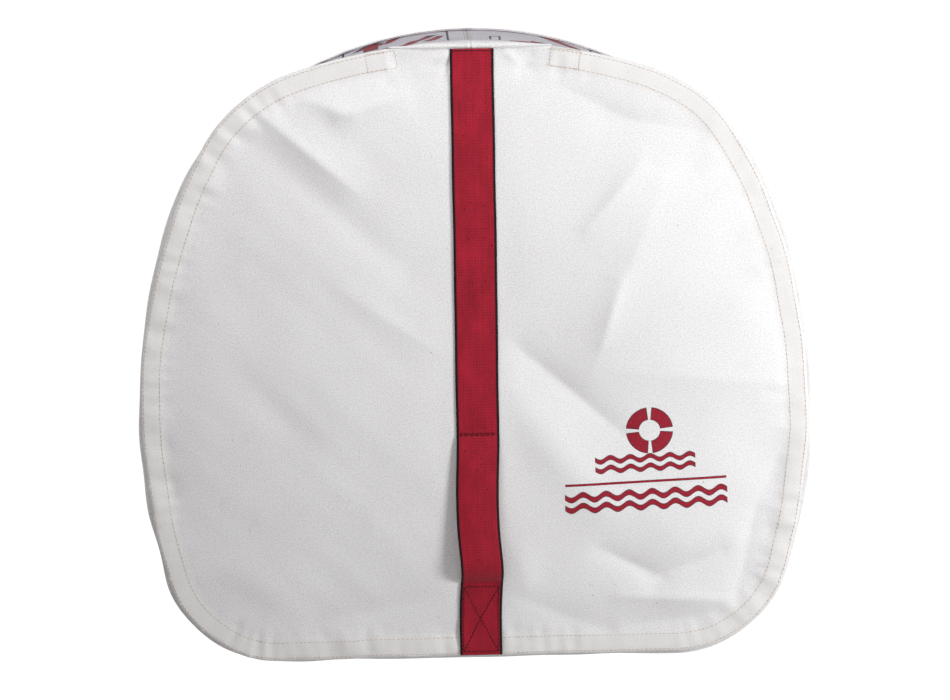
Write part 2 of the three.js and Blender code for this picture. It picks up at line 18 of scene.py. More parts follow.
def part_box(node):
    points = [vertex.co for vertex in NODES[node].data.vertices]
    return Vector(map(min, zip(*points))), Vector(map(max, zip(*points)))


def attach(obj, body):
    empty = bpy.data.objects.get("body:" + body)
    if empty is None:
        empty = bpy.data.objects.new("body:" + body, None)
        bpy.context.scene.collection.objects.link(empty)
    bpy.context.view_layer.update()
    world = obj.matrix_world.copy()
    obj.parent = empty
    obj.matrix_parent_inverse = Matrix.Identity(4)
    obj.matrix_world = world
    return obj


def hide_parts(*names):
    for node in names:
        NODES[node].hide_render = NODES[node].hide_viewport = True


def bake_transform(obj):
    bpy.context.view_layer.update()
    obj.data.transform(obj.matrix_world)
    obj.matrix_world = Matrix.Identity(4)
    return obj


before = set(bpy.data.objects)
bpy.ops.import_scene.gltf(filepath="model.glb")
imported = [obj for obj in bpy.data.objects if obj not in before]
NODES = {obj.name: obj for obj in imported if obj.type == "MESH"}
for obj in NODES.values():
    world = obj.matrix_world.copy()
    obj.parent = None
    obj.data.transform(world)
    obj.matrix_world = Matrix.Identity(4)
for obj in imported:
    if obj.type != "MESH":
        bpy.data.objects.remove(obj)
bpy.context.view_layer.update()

# ---- Dimensions ------------------------------------------------------------------------------------
FLAP_LOW, FLAP_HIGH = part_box("flap_panel")
PANEL_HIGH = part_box("case_back_panel")[1]
GUSSET_LOW, GUSSET_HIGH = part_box("case_gusset_left")
BRIM_LOW, BRIM_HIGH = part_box("case_brim")
FOLD_LOW, FOLD_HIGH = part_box("case_hinge_fold")
STRAP_LOW, STRAP_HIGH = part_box("flap_pull_strap")

# Half of the flap's outline, from its top centre to its flat bottom, as arcs of (radius, degrees).
FLAP_ARCS = ((0.532, 18), (0.1495, 45), (0.555, 42.5), (0.110, 74.5))
CROWN_SWEEP = 26  # degrees of the top arc of the gusset and the buoy
BRIM_WIDTH = 0.024
HEM = 0.020
HEM_ENDS = (-0.0745, 0.0690)  # the hem stops here on each side of the sewn top edge
FABRIC = 0.0011
FLAP_CROWN = 0.0125

HINGE = Vector((0, (FLAP_LOW.y + FLAP_HIGH.y) / 2, FOLD_LOW.z + 0.0035))
MIDDLE_Z = (FLAP_LOW.z + FLAP_HIGH.z) / 2


# ---- Outlines --------------------------------------------------------------------------------------
def arc_points(arcs, top, step, grow=0.0):
    """Points along tangent arcs, from (0, top) round the right-hand side, all moved out by grow."""
    x, z, heading = 0.0, top + grow, 0.0
    points = [(x, z)]
    for radius, sweep in arcs:
        turn = math.radians(sweep)
        steps = max(2, round(radius * turn / step))
        radius = radius + grow
        middle_x = x - radius * math.sin(heading)
        middle_z = z - radius * math.cos(heading)
        for i in range(1, steps + 1):
            angle = heading + turn * i / steps
            points.append((middle_x + radius * math.sin(angle), middle_z + radius * math.cos(angle)))
        x, z = points[-1]
        heading += turn
    return np.array(points)


def closed_outline(arcs, top, offset=0.0, step=0.003):
    """An arched outline, grown by an offset, clockwise from its top centre, with a straight bottom."""
    right = arc_points(arcs, top, step, offset)
    count = max(2, round(right[-1, 0] / step))
    bottom = np.column_stack([np.linspace(right[-1, 0], 0, count + 1)[1:], np.full(count, right[-1, 1])])
    half = np.vstack([right, bottom])
    return np.vstack([half, half[-2:0:-1] * (-1, 1)])


def closed(line):
    """A line with its first point added at its end."""
    return np.vstack([line, line[:1]])


def spread(arcs, measure):
    """How far a run of arcs goes in one direction, by each arc's start and end heading."""
    total, start = 0.0, 0.0
    for radius, sweep in arcs:
        end = start + math.radians(sweep)
        total += radius * measure(start, end)
        start = end
    return total


def drop_of(arcs):
    return spread(arcs, lambda start, end: math.cos(start) - math.cos(end))


def reach_of(arcs):
    return spread(arcs, lambda start, end: math.sin(end) - math.sin(start))


FLAP_TOP = FLAP_LOW.z + drop_of(FLAP_ARCS)


def arched(inset, top):
    """Arcs that run along the flap's sides and bottom at a distance, under an arch with its own top."""
    sides = [(radius - inset, sweep) for radius, sweep in FLAP_ARCS[2:]]
    turn = math.radians(FLAP_ARCS[0][1] + FLAP_ARCS[1][1])
    width = reach_of(FLAP_ARCS[:2]) - inset * math.sin(turn)
    lower = sides[0][0] * (math.cos(turn) - math.cos(turn + math.radians(sides[0][1])))
    corner = sides[1][0] * (math.cos(turn + math.radians(sides[0][1])) + 1)
    height = top - (FLAP_LOW.z + inset) - lower - corner
    sin_a, cos_a = math.sin(math.radians(CROWN_SWEEP)), math.cos(math.radians(CROWN_SWEEP))
    sin_b, cos_b = math.sin(turn) - sin_a, cos_a - math.cos(turn)
    shoulder = (height - width / sin_a * (1 - cos_a)) / (cos_b - sin_b / sin_a * (1 - cos_a))
    crown = (width - sin_b * shoulder) / sin_a
    return [(crown, CROWN_SWEEP), (shoulder, math.degrees(turn) - CROWN_SWEEP), *sides]


GUSSET_TOP = PANEL_HIGH.z
DRAIN_X, DRAIN_Y = 0.120, -0.0695
BINDING_LEG = 0.011
GUSSET_ARCS = arched(BRIM_WIDTH, GUSSET_TOP)


# ---- Unevenness ------------------------------------------------------------------------------------
def ripple(u, v, size, seed):
    """Smooth unevenness of about -1 to 1 with bumps of a given size, the same on every run."""
    rng = np.random.default_rng(seed)
    total = np.zeros(np.broadcast(u, v).shape)
    for _ in range(14):
        angle, phase = rng.uniform(0, 2 * math.pi, 2)
        wave = math.pi / size * rng.uniform(0.6, 1.4)
        total += np.sin(wave * (u * math.cos(angle) + v * math.sin(angle)) + phase)
    return total / 4.2


def ripple_along(s, size, seed):
    """Unevenness along a line."""
    return ripple(s, 0.0, size, seed)


def bell(value, width):
    """1 at nought, and next to nothing two widths away from it."""
    return np.exp(-((value / width) ** 2))


def fold(u, v, start, end, width, height):
    """A ridge that dies away at both ends. Two widths, left and right of it, make it a crease."""
    (u0, v0), (u1, v1) = start, end
    length = math.hypot(u1 - u0, v1 - v0)
    along = ((u - u0) * (u1 - u0) + (v - v0) * (v1 - v0)) / length
    across = ((u - u0) * (v1 - v0) - (v - v0) * (u1 - u0)) / length
    if isinstance(width, tuple):
        profile = np.exp(-(np.hypot(across, 0.002) - 0.002) / np.where(across < 0, *width))
        width = max(width)
    else:
        profile = bell(across, width)
    past = np.maximum(0, np.maximum(-along, along - length)) / (0.25 * length + 0.6 * width)
    taper = np.sin(np.clip(along / length, 0, 1) * math.pi) * 0.4 + 0.6
    return height * taper * profile * np.exp(-((2 * past) ** 2))


def smooth_step(value):
    """0 below nought and 1 above one, with a smooth change between them."""
    t = np.clip(value, 0, 1)
    return t * t * (3 - 2 * t)


# ---- Flat panels -----------------------------------------------------------------------------------
def tree_of(points):
    """A search tree of flat points."""
    tree = KDTree(len(points))
    for i, (u, v) in enumerate(points):
        tree.insert((u, v, 0), i)
    tree.balance()
    return tree


class Edge:
    """A closed line in a flat panel, for how far from it points lie and how far along it they are."""

    def __init__(self, line):
        self.line = closed(line)
        self.along = lengths_along(self.line)
        self.tree = tree_of(self.line)

    def measure(self, u, v):
        points = np.column_stack([u, v])
        nearest = np.array([self.tree.find((a, b, 0))[1] for a, b in points])
        best, where = np.full(len(points), np.inf), np.zeros(len(points))
        for shift in (-1, 0):
            i = np.clip(nearest + shift, 0, len(self.line) - 2)
            start, run = self.line[i], self.line[i + 1] - self.line[i]
            length = np.linalg.norm(run, axis=1)
            t = np.clip(((points - start) * run).sum(1) / length**2, 0, 1)
            away = np.linalg.norm(points - start - run * t[:, None], axis=1)
            better = away < best
            best = np.where(better, away, best)
            where = np.where(better, self.along[i] + t * length, where)
        return best, where


def is_inside(points, line):
    """For each point, whether it lies inside a closed line."""
    u, v = points[:, 0], points[:, 1]
    inside = np.zeros(len(points), bool)
    for (u0, v0), (u1, v1) in zip(line, np.roll(line, -1, axis=0)):
        if v0 == v1:
            continue
        crosses = (v0 > v) != (v1 > v)
        inside ^= crosses & (u < (u1 - u0) * (v - v0) / (v1 - v0) + u0)
    return inside


def joined(lines):
    """The points of several lines, each said to be closed or not, as one list, and the edges between them."""
    points, edges = [], []
    for line, is_closed in lines:
        first = len(points)
        points += [tuple(p) for p in line]
        last = len(points) - 1
        edges += [(i, i + 1) for i in range(first, last)]
        if is_closed:
            edges.append((last, first))
    return points, edges


def grid_within(outline, spacing):
    """Points in staggered rows inside an outline."""
    low, high = np.min(outline, 0), np.max(outline, 0)
    grid = []
    for row, v in enumerate(np.arange(low[1], high[1], spacing * 0.87)):
        shift = spacing / 2 if row % 2 else 0
        grid += [(u + shift, v) for u in np.arange(low[0], high[0], spacing)]
    grid = np.array(grid)
    return grid[is_inside(grid, outline)]


def cut_panel(outline, spacing, creases=(), holes=(), prints=()):
    """Fills a flat outline with triangles that follow its creases, holes and printed shapes.

    Returns the points, the triangles, and each triangle's print: 0 for bare cloth, or the print's number.
    Shapes of one print that overlap cut each other out, and a later print covers an earlier one.
    """
    rings = [outline, *holes, *(line for shapes in prints for line in shapes)]
    lines = [(rings[0], True)] + [(line, False) for line in creases] + [(line, True) for line in rings[1:]]
    points, edges = joined(lines)
    taken = tree_of(points)
    grid = grid_within(outline, spacing)
    points += [tuple(p) for p in grid if taken.find((p[0], p[1], 0))[2] > spacing * 0.6]
    result = delaunay_2d_cdt([Vector(p) for p in points], edges, [], 0, 1e-7)
    flat, faces = np.array([tuple(p) for p in result[0]]), np.array(result[2])
    middles = flat[faces].mean(axis=1)
    keep = is_inside(middles, outline)
    for line in holes:
        keep &= ~is_inside(middles, line)
    faces, middles = faces[keep], middles[keep]
    printed = np.zeros(len(faces), int)
    for number, shapes in enumerate(prints, 1):
        shown = np.zeros(len(faces), bool)
        for line in shapes:
            shown ^= is_inside(middles, line)
        printed[shown] = number
    return flat, faces, printed


def shell_faces(faces, count):
    """Triangles of two skins over the same flat panel, with the strip that joins their edges."""
    directed = np.vstack([faces[:, [0, 1]], faces[:, [1, 2]], faces[:, [2, 0]]])
    known = {(int(a), int(b)) for a, b in directed}
    sides = [(b, a, a + count, b + count) for a, b in known if (b, a) not in known]
    return [*map(tuple, faces), *map(tuple, faces[:, ::-1] + count), *sides]


def mesh_object(name, points, faces, materials, slots=None, flat=None):
    """A smooth mesh. flat gives each point's place in the cloth before it was sewn, in metres."""
    mesh = bpy.data.meshes.new(name)
    mesh.from_pydata([tuple(p) for p in points], [], [tuple(map(int, f)) for f in faces])
    for material in materials:
        mesh.materials.append(material)
    if slots is not None:
        mesh.polygons.foreach_set("material_index", np.asarray(slots, np.int32))
    if flat is not None:
        corners = np.zeros(len(mesh.loops), np.int32)
        mesh.loops.foreach_get("vertex_index", corners)
        uv = mesh.uv_layers.new(name="cloth").data
        uv.foreach_set("uv", np.asarray(flat, np.float32)[corners].ravel())
    mesh.polygons.foreach_set("use_smooth", np.ones(len(mesh.polygons), bool))
    bm = bmesh.new()
    bm.from_mesh(mesh)
    bmesh.ops.recalc_face_normals(bm, faces=bm.faces)
    bm.to_mesh(mesh)
    bm.free()
    obj = bpy.data.objects.new(name, mesh)
    bpy.context.scene.collection.objects.link(obj)
    return obj


def fit(obj, body, nodes):
    """Makes a piece ride on a body and stand for CAD nodes, which are hidden."""
    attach(obj, body)
    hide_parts(*nodes)


def sewn(name, body, panel, skins, materials, node, lined=0):
    """A closed cloth panel from its cut and the places of its two skins, riding on a body.

    lined gives the back skin's material, one number for all its triangles or one for each.
    """
    flat, faces, printed = panel
    both = shell_faces(faces, len(flat))
    inner = np.broadcast_to(lined, len(faces))
    slots = np.concatenate([printed, inner, np.zeros(len(both) - 2 * len(faces), int)])
    obj = mesh_object(name, np.vstack(skins), both, materials, slots, np.vstack([flat, flat]))
    fit(obj, body, [node])
    return obj


def at_depth(line, y):
    """A flat line or panel set upright at a depth y."""
    return np.column_stack([line[:, 0], np.full(len(line), y), line[:, 1]])


# ---- Bands, rings and stitches ---------------------------------------------------------------------
def grid_faces(rows, columns):
    """Quads of a grid of points, row by row."""
    faces = []
    for i in range(rows - 1):
        a, b = i * columns, (i + 1) * columns
        faces += [(a + j, a + j + 1, b + j + 1, b + j) for j in range(columns - 1)]
    return faces


def tube_faces(rows, columns, loop=False):
    """Quads of rings of points, joined row by row, with a cap at each end unless the tube is a loop."""
    faces = []
    for i in range(rows if loop else rows - 1):
        a, b = i * columns, (i + 1) % rows * columns
        faces += [(a + j, a + (j + 1) % columns, b + (j + 1) % columns, b + j) for j in range(columns)]
    if not loop:
        faces += [tuple(range(columns)), tuple(range((rows - 1) * columns, rows * columns))]
    return faces


def band_profile(width, thickness, across=14):
    """A flat band's cross-section with rounded edges: pairs of (across, out), round the band."""
    half, r = width / 2, thickness / 2
    face = np.linspace(-half + r, half - r, across)
    turn = np.radians([-60, -30, 0, 30, 60])
    right = np.column_stack([half - r + r * np.cos(turn), r * np.sin(turn)])
    left = np.column_stack([-half + r - r * np.cos(turn), -r * np.sin(turn)])
    front = np.column_stack([face, np.full(across, -r)])
    back = np.column_stack([face[::-1], np.full(across, r)])
    return np.vstack([front, right, back, left])


def unit(vectors):
    """Vectors made one long."""
    return vectors / np.linalg.norm(vectors, axis=-1, keepdims=True)


def lengths_along(line):
    """How far along a line each of its points is."""
    return np.concatenate([[0], np.cumsum(np.linalg.norm(np.diff(line, axis=0), axis=1))])


def resample_ring(line, step):
    """A closed line with points an even step apart."""
    return resample(closed(line), step)[:-1]


def resample(line, step):
    """The same line with points an even step apart."""
    along = lengths_along(line)
    wanted = np.linspace(0, along[-1], max(2, round(along[-1] / step) + 1))
    return np.column_stack([np.interp(wanted, along, line[:, k]) for k in range(line.shape[1])])


def band_mesh(name, line, across, width, thickness, material, wobble=0.0):
    """Webbing or tape along a line of points, with its width along a fixed direction."""
    across = unit(np.broadcast_to(np.asarray(across, float), line.shape))
    out = unit(np.cross(np.gradient(line, axis=0), across))
    profile = band_profile(width, thickness)
    along = lengths_along(line)
    sway = wobble * ripple_along(along, 0.03, 5)
    points = line[:, None] + across[:, None] * (profile[None, :, :1] + sway[:, None, None])
    points += out[:, None] * profile[None, :, 1:]
    flat = np.stack(np.broadcast_arrays(profile[None, :, 0], along[:, None]), -1)
    faces = tube_faces(len(line), len(profile))
    return mesh_object(name, points.reshape(-1, 3), faces, [material], flat=flat.reshape(-1, 2))


def rounded_line(corners, turn=0.002):
    """A line of straight runs in the YZ or XY plane. Each corner may carry the length it is rounded over."""
    at = np.array([corner[:2] for corner in corners])
    points = [at[0]]
    for i in range(1, len(at) - 1):
        rounding = corners[i][2] if len(corners[i]) > 2 else turn
        start, end = (
            at[i] + (other - at[i]) * min(rounding / np.linalg.norm(other - at[i]), 0.45)
            for other in (at[i - 1], at[i + 1])
        )
        for t in np.linspace(0, 1, 9):
            points.append((1 - t) ** 2 * start + 2 * t * (1 - t) * at[i] + t**2 * end)
    points.append(at[-1])
    return resample(np.array(points), 0.001)


THREAD = 0.00032
STITCH_SIDES = 6
# A stitch's cross-sections: how far along it, how far it is lifted, and how thick it is, in radii.
STITCH_RINGS = ((0.0, 0.0, 0.25), (0.08, 0.55, 0.8), (0.5, 1.0, 1.0), (0.92, 0.55, 0.8), (1.0, 0.0, 0.25))


def set_upright(y, x=0.0, z=0.0):
    """A function that places flat points upright at a depth y, moved by x and z."""
    return lambda u, v: np.column_stack([x + u, np.full(len(u), y), z + v])


def stitch_meshes(starts, ends, outward, radius=THREAD):
    """Short round-ended stitches, from each start to its end, half sunk in the cloth."""
    along = ends - starts
    out = unit(outward - along * ((outward * along).sum(1) / (along**2).sum(1))[:, None])
    side = np.cross(unit(along), out)
    rows = []
    for t, lift, size in STITCH_RINGS:
        middle = starts + along * t + out * radius * (lift - 0.3)
        for k in range(STITCH_SIDES):
            angle = 2 * math.pi * k / STITCH_SIDES
            rows.append(middle + (side * math.cos(angle) + out * math.sin(angle)) * radius * size)
    points = np.stack(rows, 1)
    pattern = tube_faces(len(STITCH_RINGS), STITCH_SIDES)
    faces = [tuple(i + n * points.shape[1] for i in face) for n in range(len(points)) for face in pattern]
    return points.reshape(-1, 3), faces


def seam(lines, place, pitch=0.0042, share=0.72, towards=(0, -1, 0), seed=3):
    """Starts, ends and outward directions of the stitches along flat lines that are placed in space."""
    starts, ends = [], []
    rng = np.random.default_rng(seed)
    for line in lines:
        line = np.asarray(line, float)
        along = lengths_along(line)
        count = max(1, round(along[-1] / pitch))
        first = np.arange(count) * along[-1] / count
        last = first + along[-1] / count * share
        for stations, bucket in ((first, starts), (last, ends)):
            flat = np.column_stack([np.interp(stations, along, line[:, k]) for k in (0, 1)])
            bucket.append(flat + rng.normal(0, 0.00008, flat.shape))
    starts, ends = (place(*np.vstack(bucket).T) for bucket in (starts, ends))
    return starts, ends, np.broadcast_to(np.asarray(towards, float), starts.shape)


def outwards(points, middle_z):
    """Directions away from the line through the object's middle that runs from front to back."""
    return unit(np.column_stack([points[:, 0], 0 * points[:, 0], points[:, 2] - middle_z]))


def stitching(name, seams, material, parent, radius=THREAD):
    """All the stitches of one piece, as one piece that goes with it."""
    starts, ends, outward = (np.vstack([s[k] for s in seams]) for k in range(3))
    points, faces = stitch_meshes(starts, ends, outward, radius)
    obj = mesh_object(name, points, faces, [material])
    obj.parent = parent
    return obj


def box_stitch(low, high, cross=True):
    """The lines of a sewn rectangle with an X across it."""
    (u0, v0), (u1, v1) = low, high
    lines = [[(u0, v0), (u1, v0)], [(u1, v0), (u1, v1)], [(u1, v1), (u0, v1)], [(u0, v1), (u0, v0)]]
    if cross:
        lines += [[(u0, v0), (u1, v1)], [(u1, v0), (u0, v1)]]
    return lines


# ---- Materials -------------------------------------------------------------------------------------
class Finish:
    """A material's nodes. Constants go straight on the shader; patterns are linked to it."""

    def __init__(self, name, colour, roughness, **constants):
        self.material = bpy.data.materials.new(name)
        self.material.use_nodes = True
        self.nodes, self.links = self.material.node_tree.nodes, self.material.node_tree.links
        self.shader = self.nodes["Principled BSDF"]
        self.shader.inputs["Base Color"].default_value = (*colour, 1)
        self.shader.inputs["Roughness"].default_value = roughness
        for socket, value in constants.items():
            self.shader.inputs[socket.replace("_", " ")].default_value = value

    def node(self, kind, settings=None, **inputs):
        made = self.nodes.new("ShaderNode" + kind)
        for key, value in (settings or {}).items():
            setattr(made, key, value)
        for key, value in inputs.items():
            self.give(made.inputs[int(key[1:]) if key[1:].isdigit() else key], value)
        return made

    def give(self, socket, value):
        if isinstance(value, bpy.types.NodeSocket):
            self.links.new(value, socket)
        else:
            socket.default_value = value

    def maths(self, operation, a, b=0.0, clamp=False):
        return self.node("Math", {"operation": operation, "use_clamp": clamp}, i0=a, i1=b).outputs[0]

    def places(self, scale=(1, 1, 1)):
        """Where a point is on the object, in metres, stretched."""
        coordinates = self.node("TexCoord").outputs["Object"]
        return self.node("Mapping", Vector=coordinates, Scale=scale).outputs[0]

    def cloth(self, scale=(1, 1, 1)):
        """Where a point is in the cloth it was cut from, in metres, stretched."""
        flat = self.node("UVMap", {"uv_map": "cloth"}).outputs[0]
        return self.node("Mapping", Vector=flat, Scale=scale).outputs[0]

    def noise(self, where, scale, detail=3.0, roughness=0.55):
        made = self.node("TexNoise", Vector=where, Scale=scale, Detail=detail, Roughness=roughness)
        return made.outputs["Fac"]

    def stretch(self, value, low, high, new_low=0.0, new_high=1.0):
        made = self.node("MapRange", Value=value)
        limits = {"From Min": low, "From Max": high, "To Min": new_low, "To Max": new_high}
        for socket, number in limits.items():
            made.inputs[socket].default_value = number
        return made.outputs[0]

    def blend(self, share, a, b):
        """Colour a turning into colour b as share goes from 0 to 1."""
        made = self.node("Mix", {"data_type": "RGBA"})
        self.give(made.inputs[0], share)
        for socket, colour in ((made.inputs[6], a), (made.inputs[7], b)):
            self.give(socket, (*colour, 1) if isinstance(colour, tuple) else colour)
        return made.outputs[2]

    def spotted(self, base, colour, where, scale, channel, share, size, strength, **cells):
        """Spots on a colour: a share of a cell pattern's cells have one, fading between two sizes."""
        spots = self.node("TexVoronoi", Vector=where, Scale=scale, **cells)
        chosen = self.node("SeparateXYZ", Vector=spots.outputs["Color"]).outputs[channel]
        spot = self.maths("MULTIPLY", self.stretch(spots.outputs["Distance"], *size),
                          self.maths("LESS_THAN", chosen, share))
        return self.blend(self.maths("MULTIPLY", spot, strength), base, colour)

    def threads(self, where, across, along):
        """The height of a plain weave whose threads are this far apart, from 0 to 1."""
        axes = self.node("SeparateXYZ", Vector=where)
        waves = []
        for axis, pitch in ((0, across), (1, along)):
            turned = self.maths("MULTIPLY", axes.outputs[axis], math.pi / pitch)
            waves.append(self.maths("SINE", turned))
        product = self.maths("MULTIPLY", *waves)
        return self.stretch(product, -1.0, 1.0), waves

    def attribute(self, name):
        return self.node("Attribute", {"attribute_name": name}).outputs["Fac"]

    def colour(self, value):
        self.give(self.shader.inputs["Base Color"], value)

    def roughness(self, value):
        self.give(self.shader.inputs["Roughness"], value)

    def bump(self, height, distance, strength=1.0, below=None):
        made = self.node("Bump", Height=height, Distance=distance, Strength=strength)
        if below is not None:
            self.links.new(below, made.inputs["Normal"])
        self.links.new(made.outputs[0], self.shader.inputs["Normal"])
        return made.outputs[0]


HEM_TINT = (0.765, 0.735, 0.72)
GRID_PITCHES = (0.0063, 0.0027)  # across and along webbing, the distance between the gaps that show


def coated_fabric(name, light, dark, speck=0.0011, shine=0.62):
    """Closely woven cloth with a thin coating. Its threads, cloudy tone and specks all show up close."""
    made = Finish(name, light, shine, Specular_IOR_Level=0.35, Sheen_Weight=0.06, Sheen_Roughness=0.5)
    cloth = made.cloth()
    weave, _ = made.threads(cloth, 0.00055, 0.0006)
    clouds = made.noise(cloth, 9.0, 4.0)
    specks = made.noise(cloth, 0.8 / speck, 3.0, 0.8)
    grime = made.noise(made.places(), 26.0, 5.0, 0.62)
    tone = made.stretch(clouds, 0.3, 0.7, 0.42, 0.78)
    speckled = made.maths("ADD", tone, made.stretch(specks, 0.3, 0.7, -1.7, 1.7))
    shade = made.maths("ADD", speckled, made.stretch(weave, 0.0, 1.0, 0.12, -0.12), clamp=True)
    base = made.blend(shade, dark, light)
    base = made.blend(made.maths("MULTIPLY", made.attribute("hem"), 0.55), base, HEM_TINT)
    dirt = made.maths("MULTIPLY", made.stretch(grime, 0.58, 0.8), 0.22)
    base = made.blend(dirt, base, tuple(c * 0.82 for c in dark))
    base = made.spotted(base, (0.16, 0.11, 0.10), cloth, 48.0, 0, 0.22, (0.045, 0.020), 0.55)
    base = made.spotted(base, (0.40, 0.27, 0.24), cloth, 125.0, 1, 0.7, (0.085, 0.045), 0.45)
    made.colour(base)
    made.roughness(made.stretch(specks, 0.3, 0.7, shine - 0.08, shine + 0.1))
    puckers = made.bump(made.noise(cloth, 130.0, 3.0), 0.00035, 0.6)
    made.bump(weave, 0.00012, 0.5, puckers)
    return made.material


def webbing(name, light, dark, selvage_and_edge_shade=None, half=0.020, specks=0.5):
    """Woven webbing: ribs, warp threads, a grid of gaps with slubs in it, and dark edges, partly selvage and
    partly painted shade.
    """
    made = Finish(name, light, 0.72, Specular_IOR_Level=0.2, Sheen_Weight=0.06, Sheen_Roughness=0.45)
    cloth = made.cloth()
    weave, waves = made.threads(cloth, 0.0013, 0.0011)
    fine = made.noise(cloth, 900.0, 2.0, 0.7)
    tone = made.noise(made.cloth((1, 0.4, 1)), 60.0, 3.0)
    woven = made.stretch(weave, 0.0, 1.0, 0.15, 0.85)
    shade = made.maths("ADD", woven, made.stretch(tone, 0.3, 0.7, -0.3, 0.3))
    shade = made.maths("ADD", shade, made.stretch(fine, 0.3, 0.7, -specks, specks), clamp=True)
    base = made.blend(shade, dark, light)
    patchy = made.noise(made.cloth((1, 0.5, 1)), 34.0, 3.0)
    few = made.stretch(patchy, 0.42, 0.68, 0.01, 0.12)
    slub = tuple(0.2 * c for c in dark)
    base = made.spotted(base, slub, cloth, 330.0, 0, few, (0.34, 0.20), 0.85, Randomness=0.5)
    axes = made.node("SeparateXYZ", Vector=cloth).outputs
    gaps = []
    for axis, pitch in zip(axes, GRID_PITCHES):
        swing = made.maths("ABSOLUTE", made.maths("SINE", made.maths("MULTIPLY", axis, math.pi / pitch)))
        gaps.append(made.maths("MULTIPLY", swing, pitch / math.pi))
    depth = made.stretch(made.noise(cloth, 60.0, 3.0), 0.38, 0.66, 0.15, 0.95)
    lines = made.maths("MULTIPLY", made.stretch(made.maths("MINIMUM", *gaps), 0.00045, 0.00018), depth)
    base = made.blend(lines, base, dark)
    # Dark lines along both edges of the webbing: partly the selvage, partly painted shade along the strap's
    # edges.
    if selvage_and_edge_shade:
        edge = made.stretch(made.maths("ABSOLUTE", axes[0]), half - 0.0029, half - 0.0019)
        base = made.blend(edge, base, selvage_and_edge_shade)
    made.colour(base)
    made.roughness(made.stretch(fine, 0.3, 0.7, 0.62, 0.85))
    below = made.bump(made.maths("MULTIPLY", waves[0], 0.5), 0.00016, 0.6)
    made.bump(weave, 0.0003, 0.8, below)
    return made.material


def ink(name, colour, cover):
    """Printed ink that lets a little of the cloth's tone through and is worn in places."""
    made = Finish(name, colour, 0.6, Specular_IOR_Level=0.25)
    cloth = made.cloth()
    weave, _ = made.threads(cloth, 0.00055, 0.0006)
    worn = made.noise(cloth, 420.0, 4.0, 0.7)
    share = made.maths("MULTIPLY", made.stretch(worn, 0.52, 0.75), cover, clamp=True)
    made.colour(made.blend(share, colour, tuple(c * 1.5 + 0.10 for c in colour)))
    made.roughness(made.stretch(worn, 0.3, 0.7, 0.42, 0.62))
    made.bump(weave, 0.0001, 0.5)
    return made.material


def thread(name, light, dark, sheen=0.2):
    """Twisted sewing thread."""
    made = Finish(name, light, 0.7, Sheen_Weight=sheen, Specular_IOR_Level=0.2)
    diagonal = {"bands_direction": "DIAGONAL"}
    bands = made.node("TexWave", diagonal, Vector=made.places(), Scale=900.0, Distortion=1.0)
    twist = bands.outputs["Fac"]
    tone = made.maths("ADD", twist, made.noise(made.places(), 300.0), clamp=True)
    made.colour(made.blend(made.stretch(tone, 0.3, 1.0), dark, light))
    made.bump(twist, 0.00008, 0.6)
    return made.material


def hook_tape(name, light, dark, fuzz):
    """Hook or loop tape: a close field of little hooks, or a tangled pile."""
    made = Finish(name, light, 0.85, Sheen_Weight=0.4, Sheen_Roughness=0.6, Specular_IOR_Level=0.2)
    where = made.places()
    pile = made.noise(where, 1400.0 if fuzz else 900.0, 4.0, 0.75)
    rows = made.node("TexVoronoi", Vector=where, Scale=620.0).outputs["Distance"]
    height = made.maths("ADD", pile, made.maths("MULTIPLY", rows, 0.1 if fuzz else 0.9))
    made.colour(made.blend(made.stretch(height, 0.3, 0.95), dark, light))
    made.roughness(made.stretch(pile, 0.3, 0.7, 0.75, 0.95))
    made.bump(height, 0.0006, 0.9)
    return made.material


WHITE = (0.835, 0.823, 0.826)
WHITE_DARK = (0.69, 0.666, 0.672)
CASE = coated_fabric("case_cloth", WHITE, WHITE_DARK)
# Inside faces get a greyer copy of the case cloth: partly the coated face, partly painted shade inside the
# case.
INNER_FACE_AND_SHADE = coated_fabric("coated_inner_face_and_shade", (0.62, 0.605, 0.615), (0.53, 0.515, 0.525), shine=0.5)
# The gusset and the web behind the hinge roll get a darker, lilac copy of the white case cloth: painted shade
# on the top of the case.
GUSSET_PAINTED_SHADE = coated_fabric("gusset_cloth_painted_shade", (0.66, 0.63, 0.69), (0.57, 0.545, 0.60))
# The binding takes the gusset's lilac grey too: painted shade on white tape.
TAPE_PAINTED_SHADE = coated_fabric("binding_tape_painted_shade", (0.70, 0.67, 0.71), (0.60, 0.575, 0.62), 0.0008, 0.7)
RED_WEB = webbing("red_web", (0.47, 0.013, 0.036), (0.23, 0.006, 0.016), (0.010, 0.003, 0.005))
WIDE_WEB = webbing("red_web_wide", (0.36, 0.020, 0.040), (0.17, 0.008, 0.017), (0.018, 0.005, 0.008), 0.025)
BUOY_WEB = webbing("red_web_plain", (0.36, 0.024, 0.045), (0.16, 0.010, 0.02))
BLACK_WEB = webbing("black_web", (0.035, 0.035, 0.04), (0.010, 0.010, 0.012), specks=0.35)
RED_INK = ink("red_ink", (0.30, 0.010, 0.026), 0.28)
DARK_INK = ink("dark_ink", (0.055, 0.030, 0.038), 0.4)
BEIGE_THREAD = thread("beige_thread", (0.62, 0.52, 0.42), (0.40, 0.32, 0.26))
DARK_THREAD = thread("dark_thread", (0.035, 0.008, 0.012), (0.012, 0.004, 0.006), 0.0)
BLACK_THREAD = thread("black_thread", (0.05, 0.05, 0.055), (0.02, 0.02, 0.022))
LOOP_PILE = hook_tape("loop_pile", (0.74, 0.72, 0.70), (0.52, 0.50, 0.48), True)
HOOKS = hook_tape("hook_field", (0.70, 0.68, 0.66), (0.38, 0.36, 0.35), False)



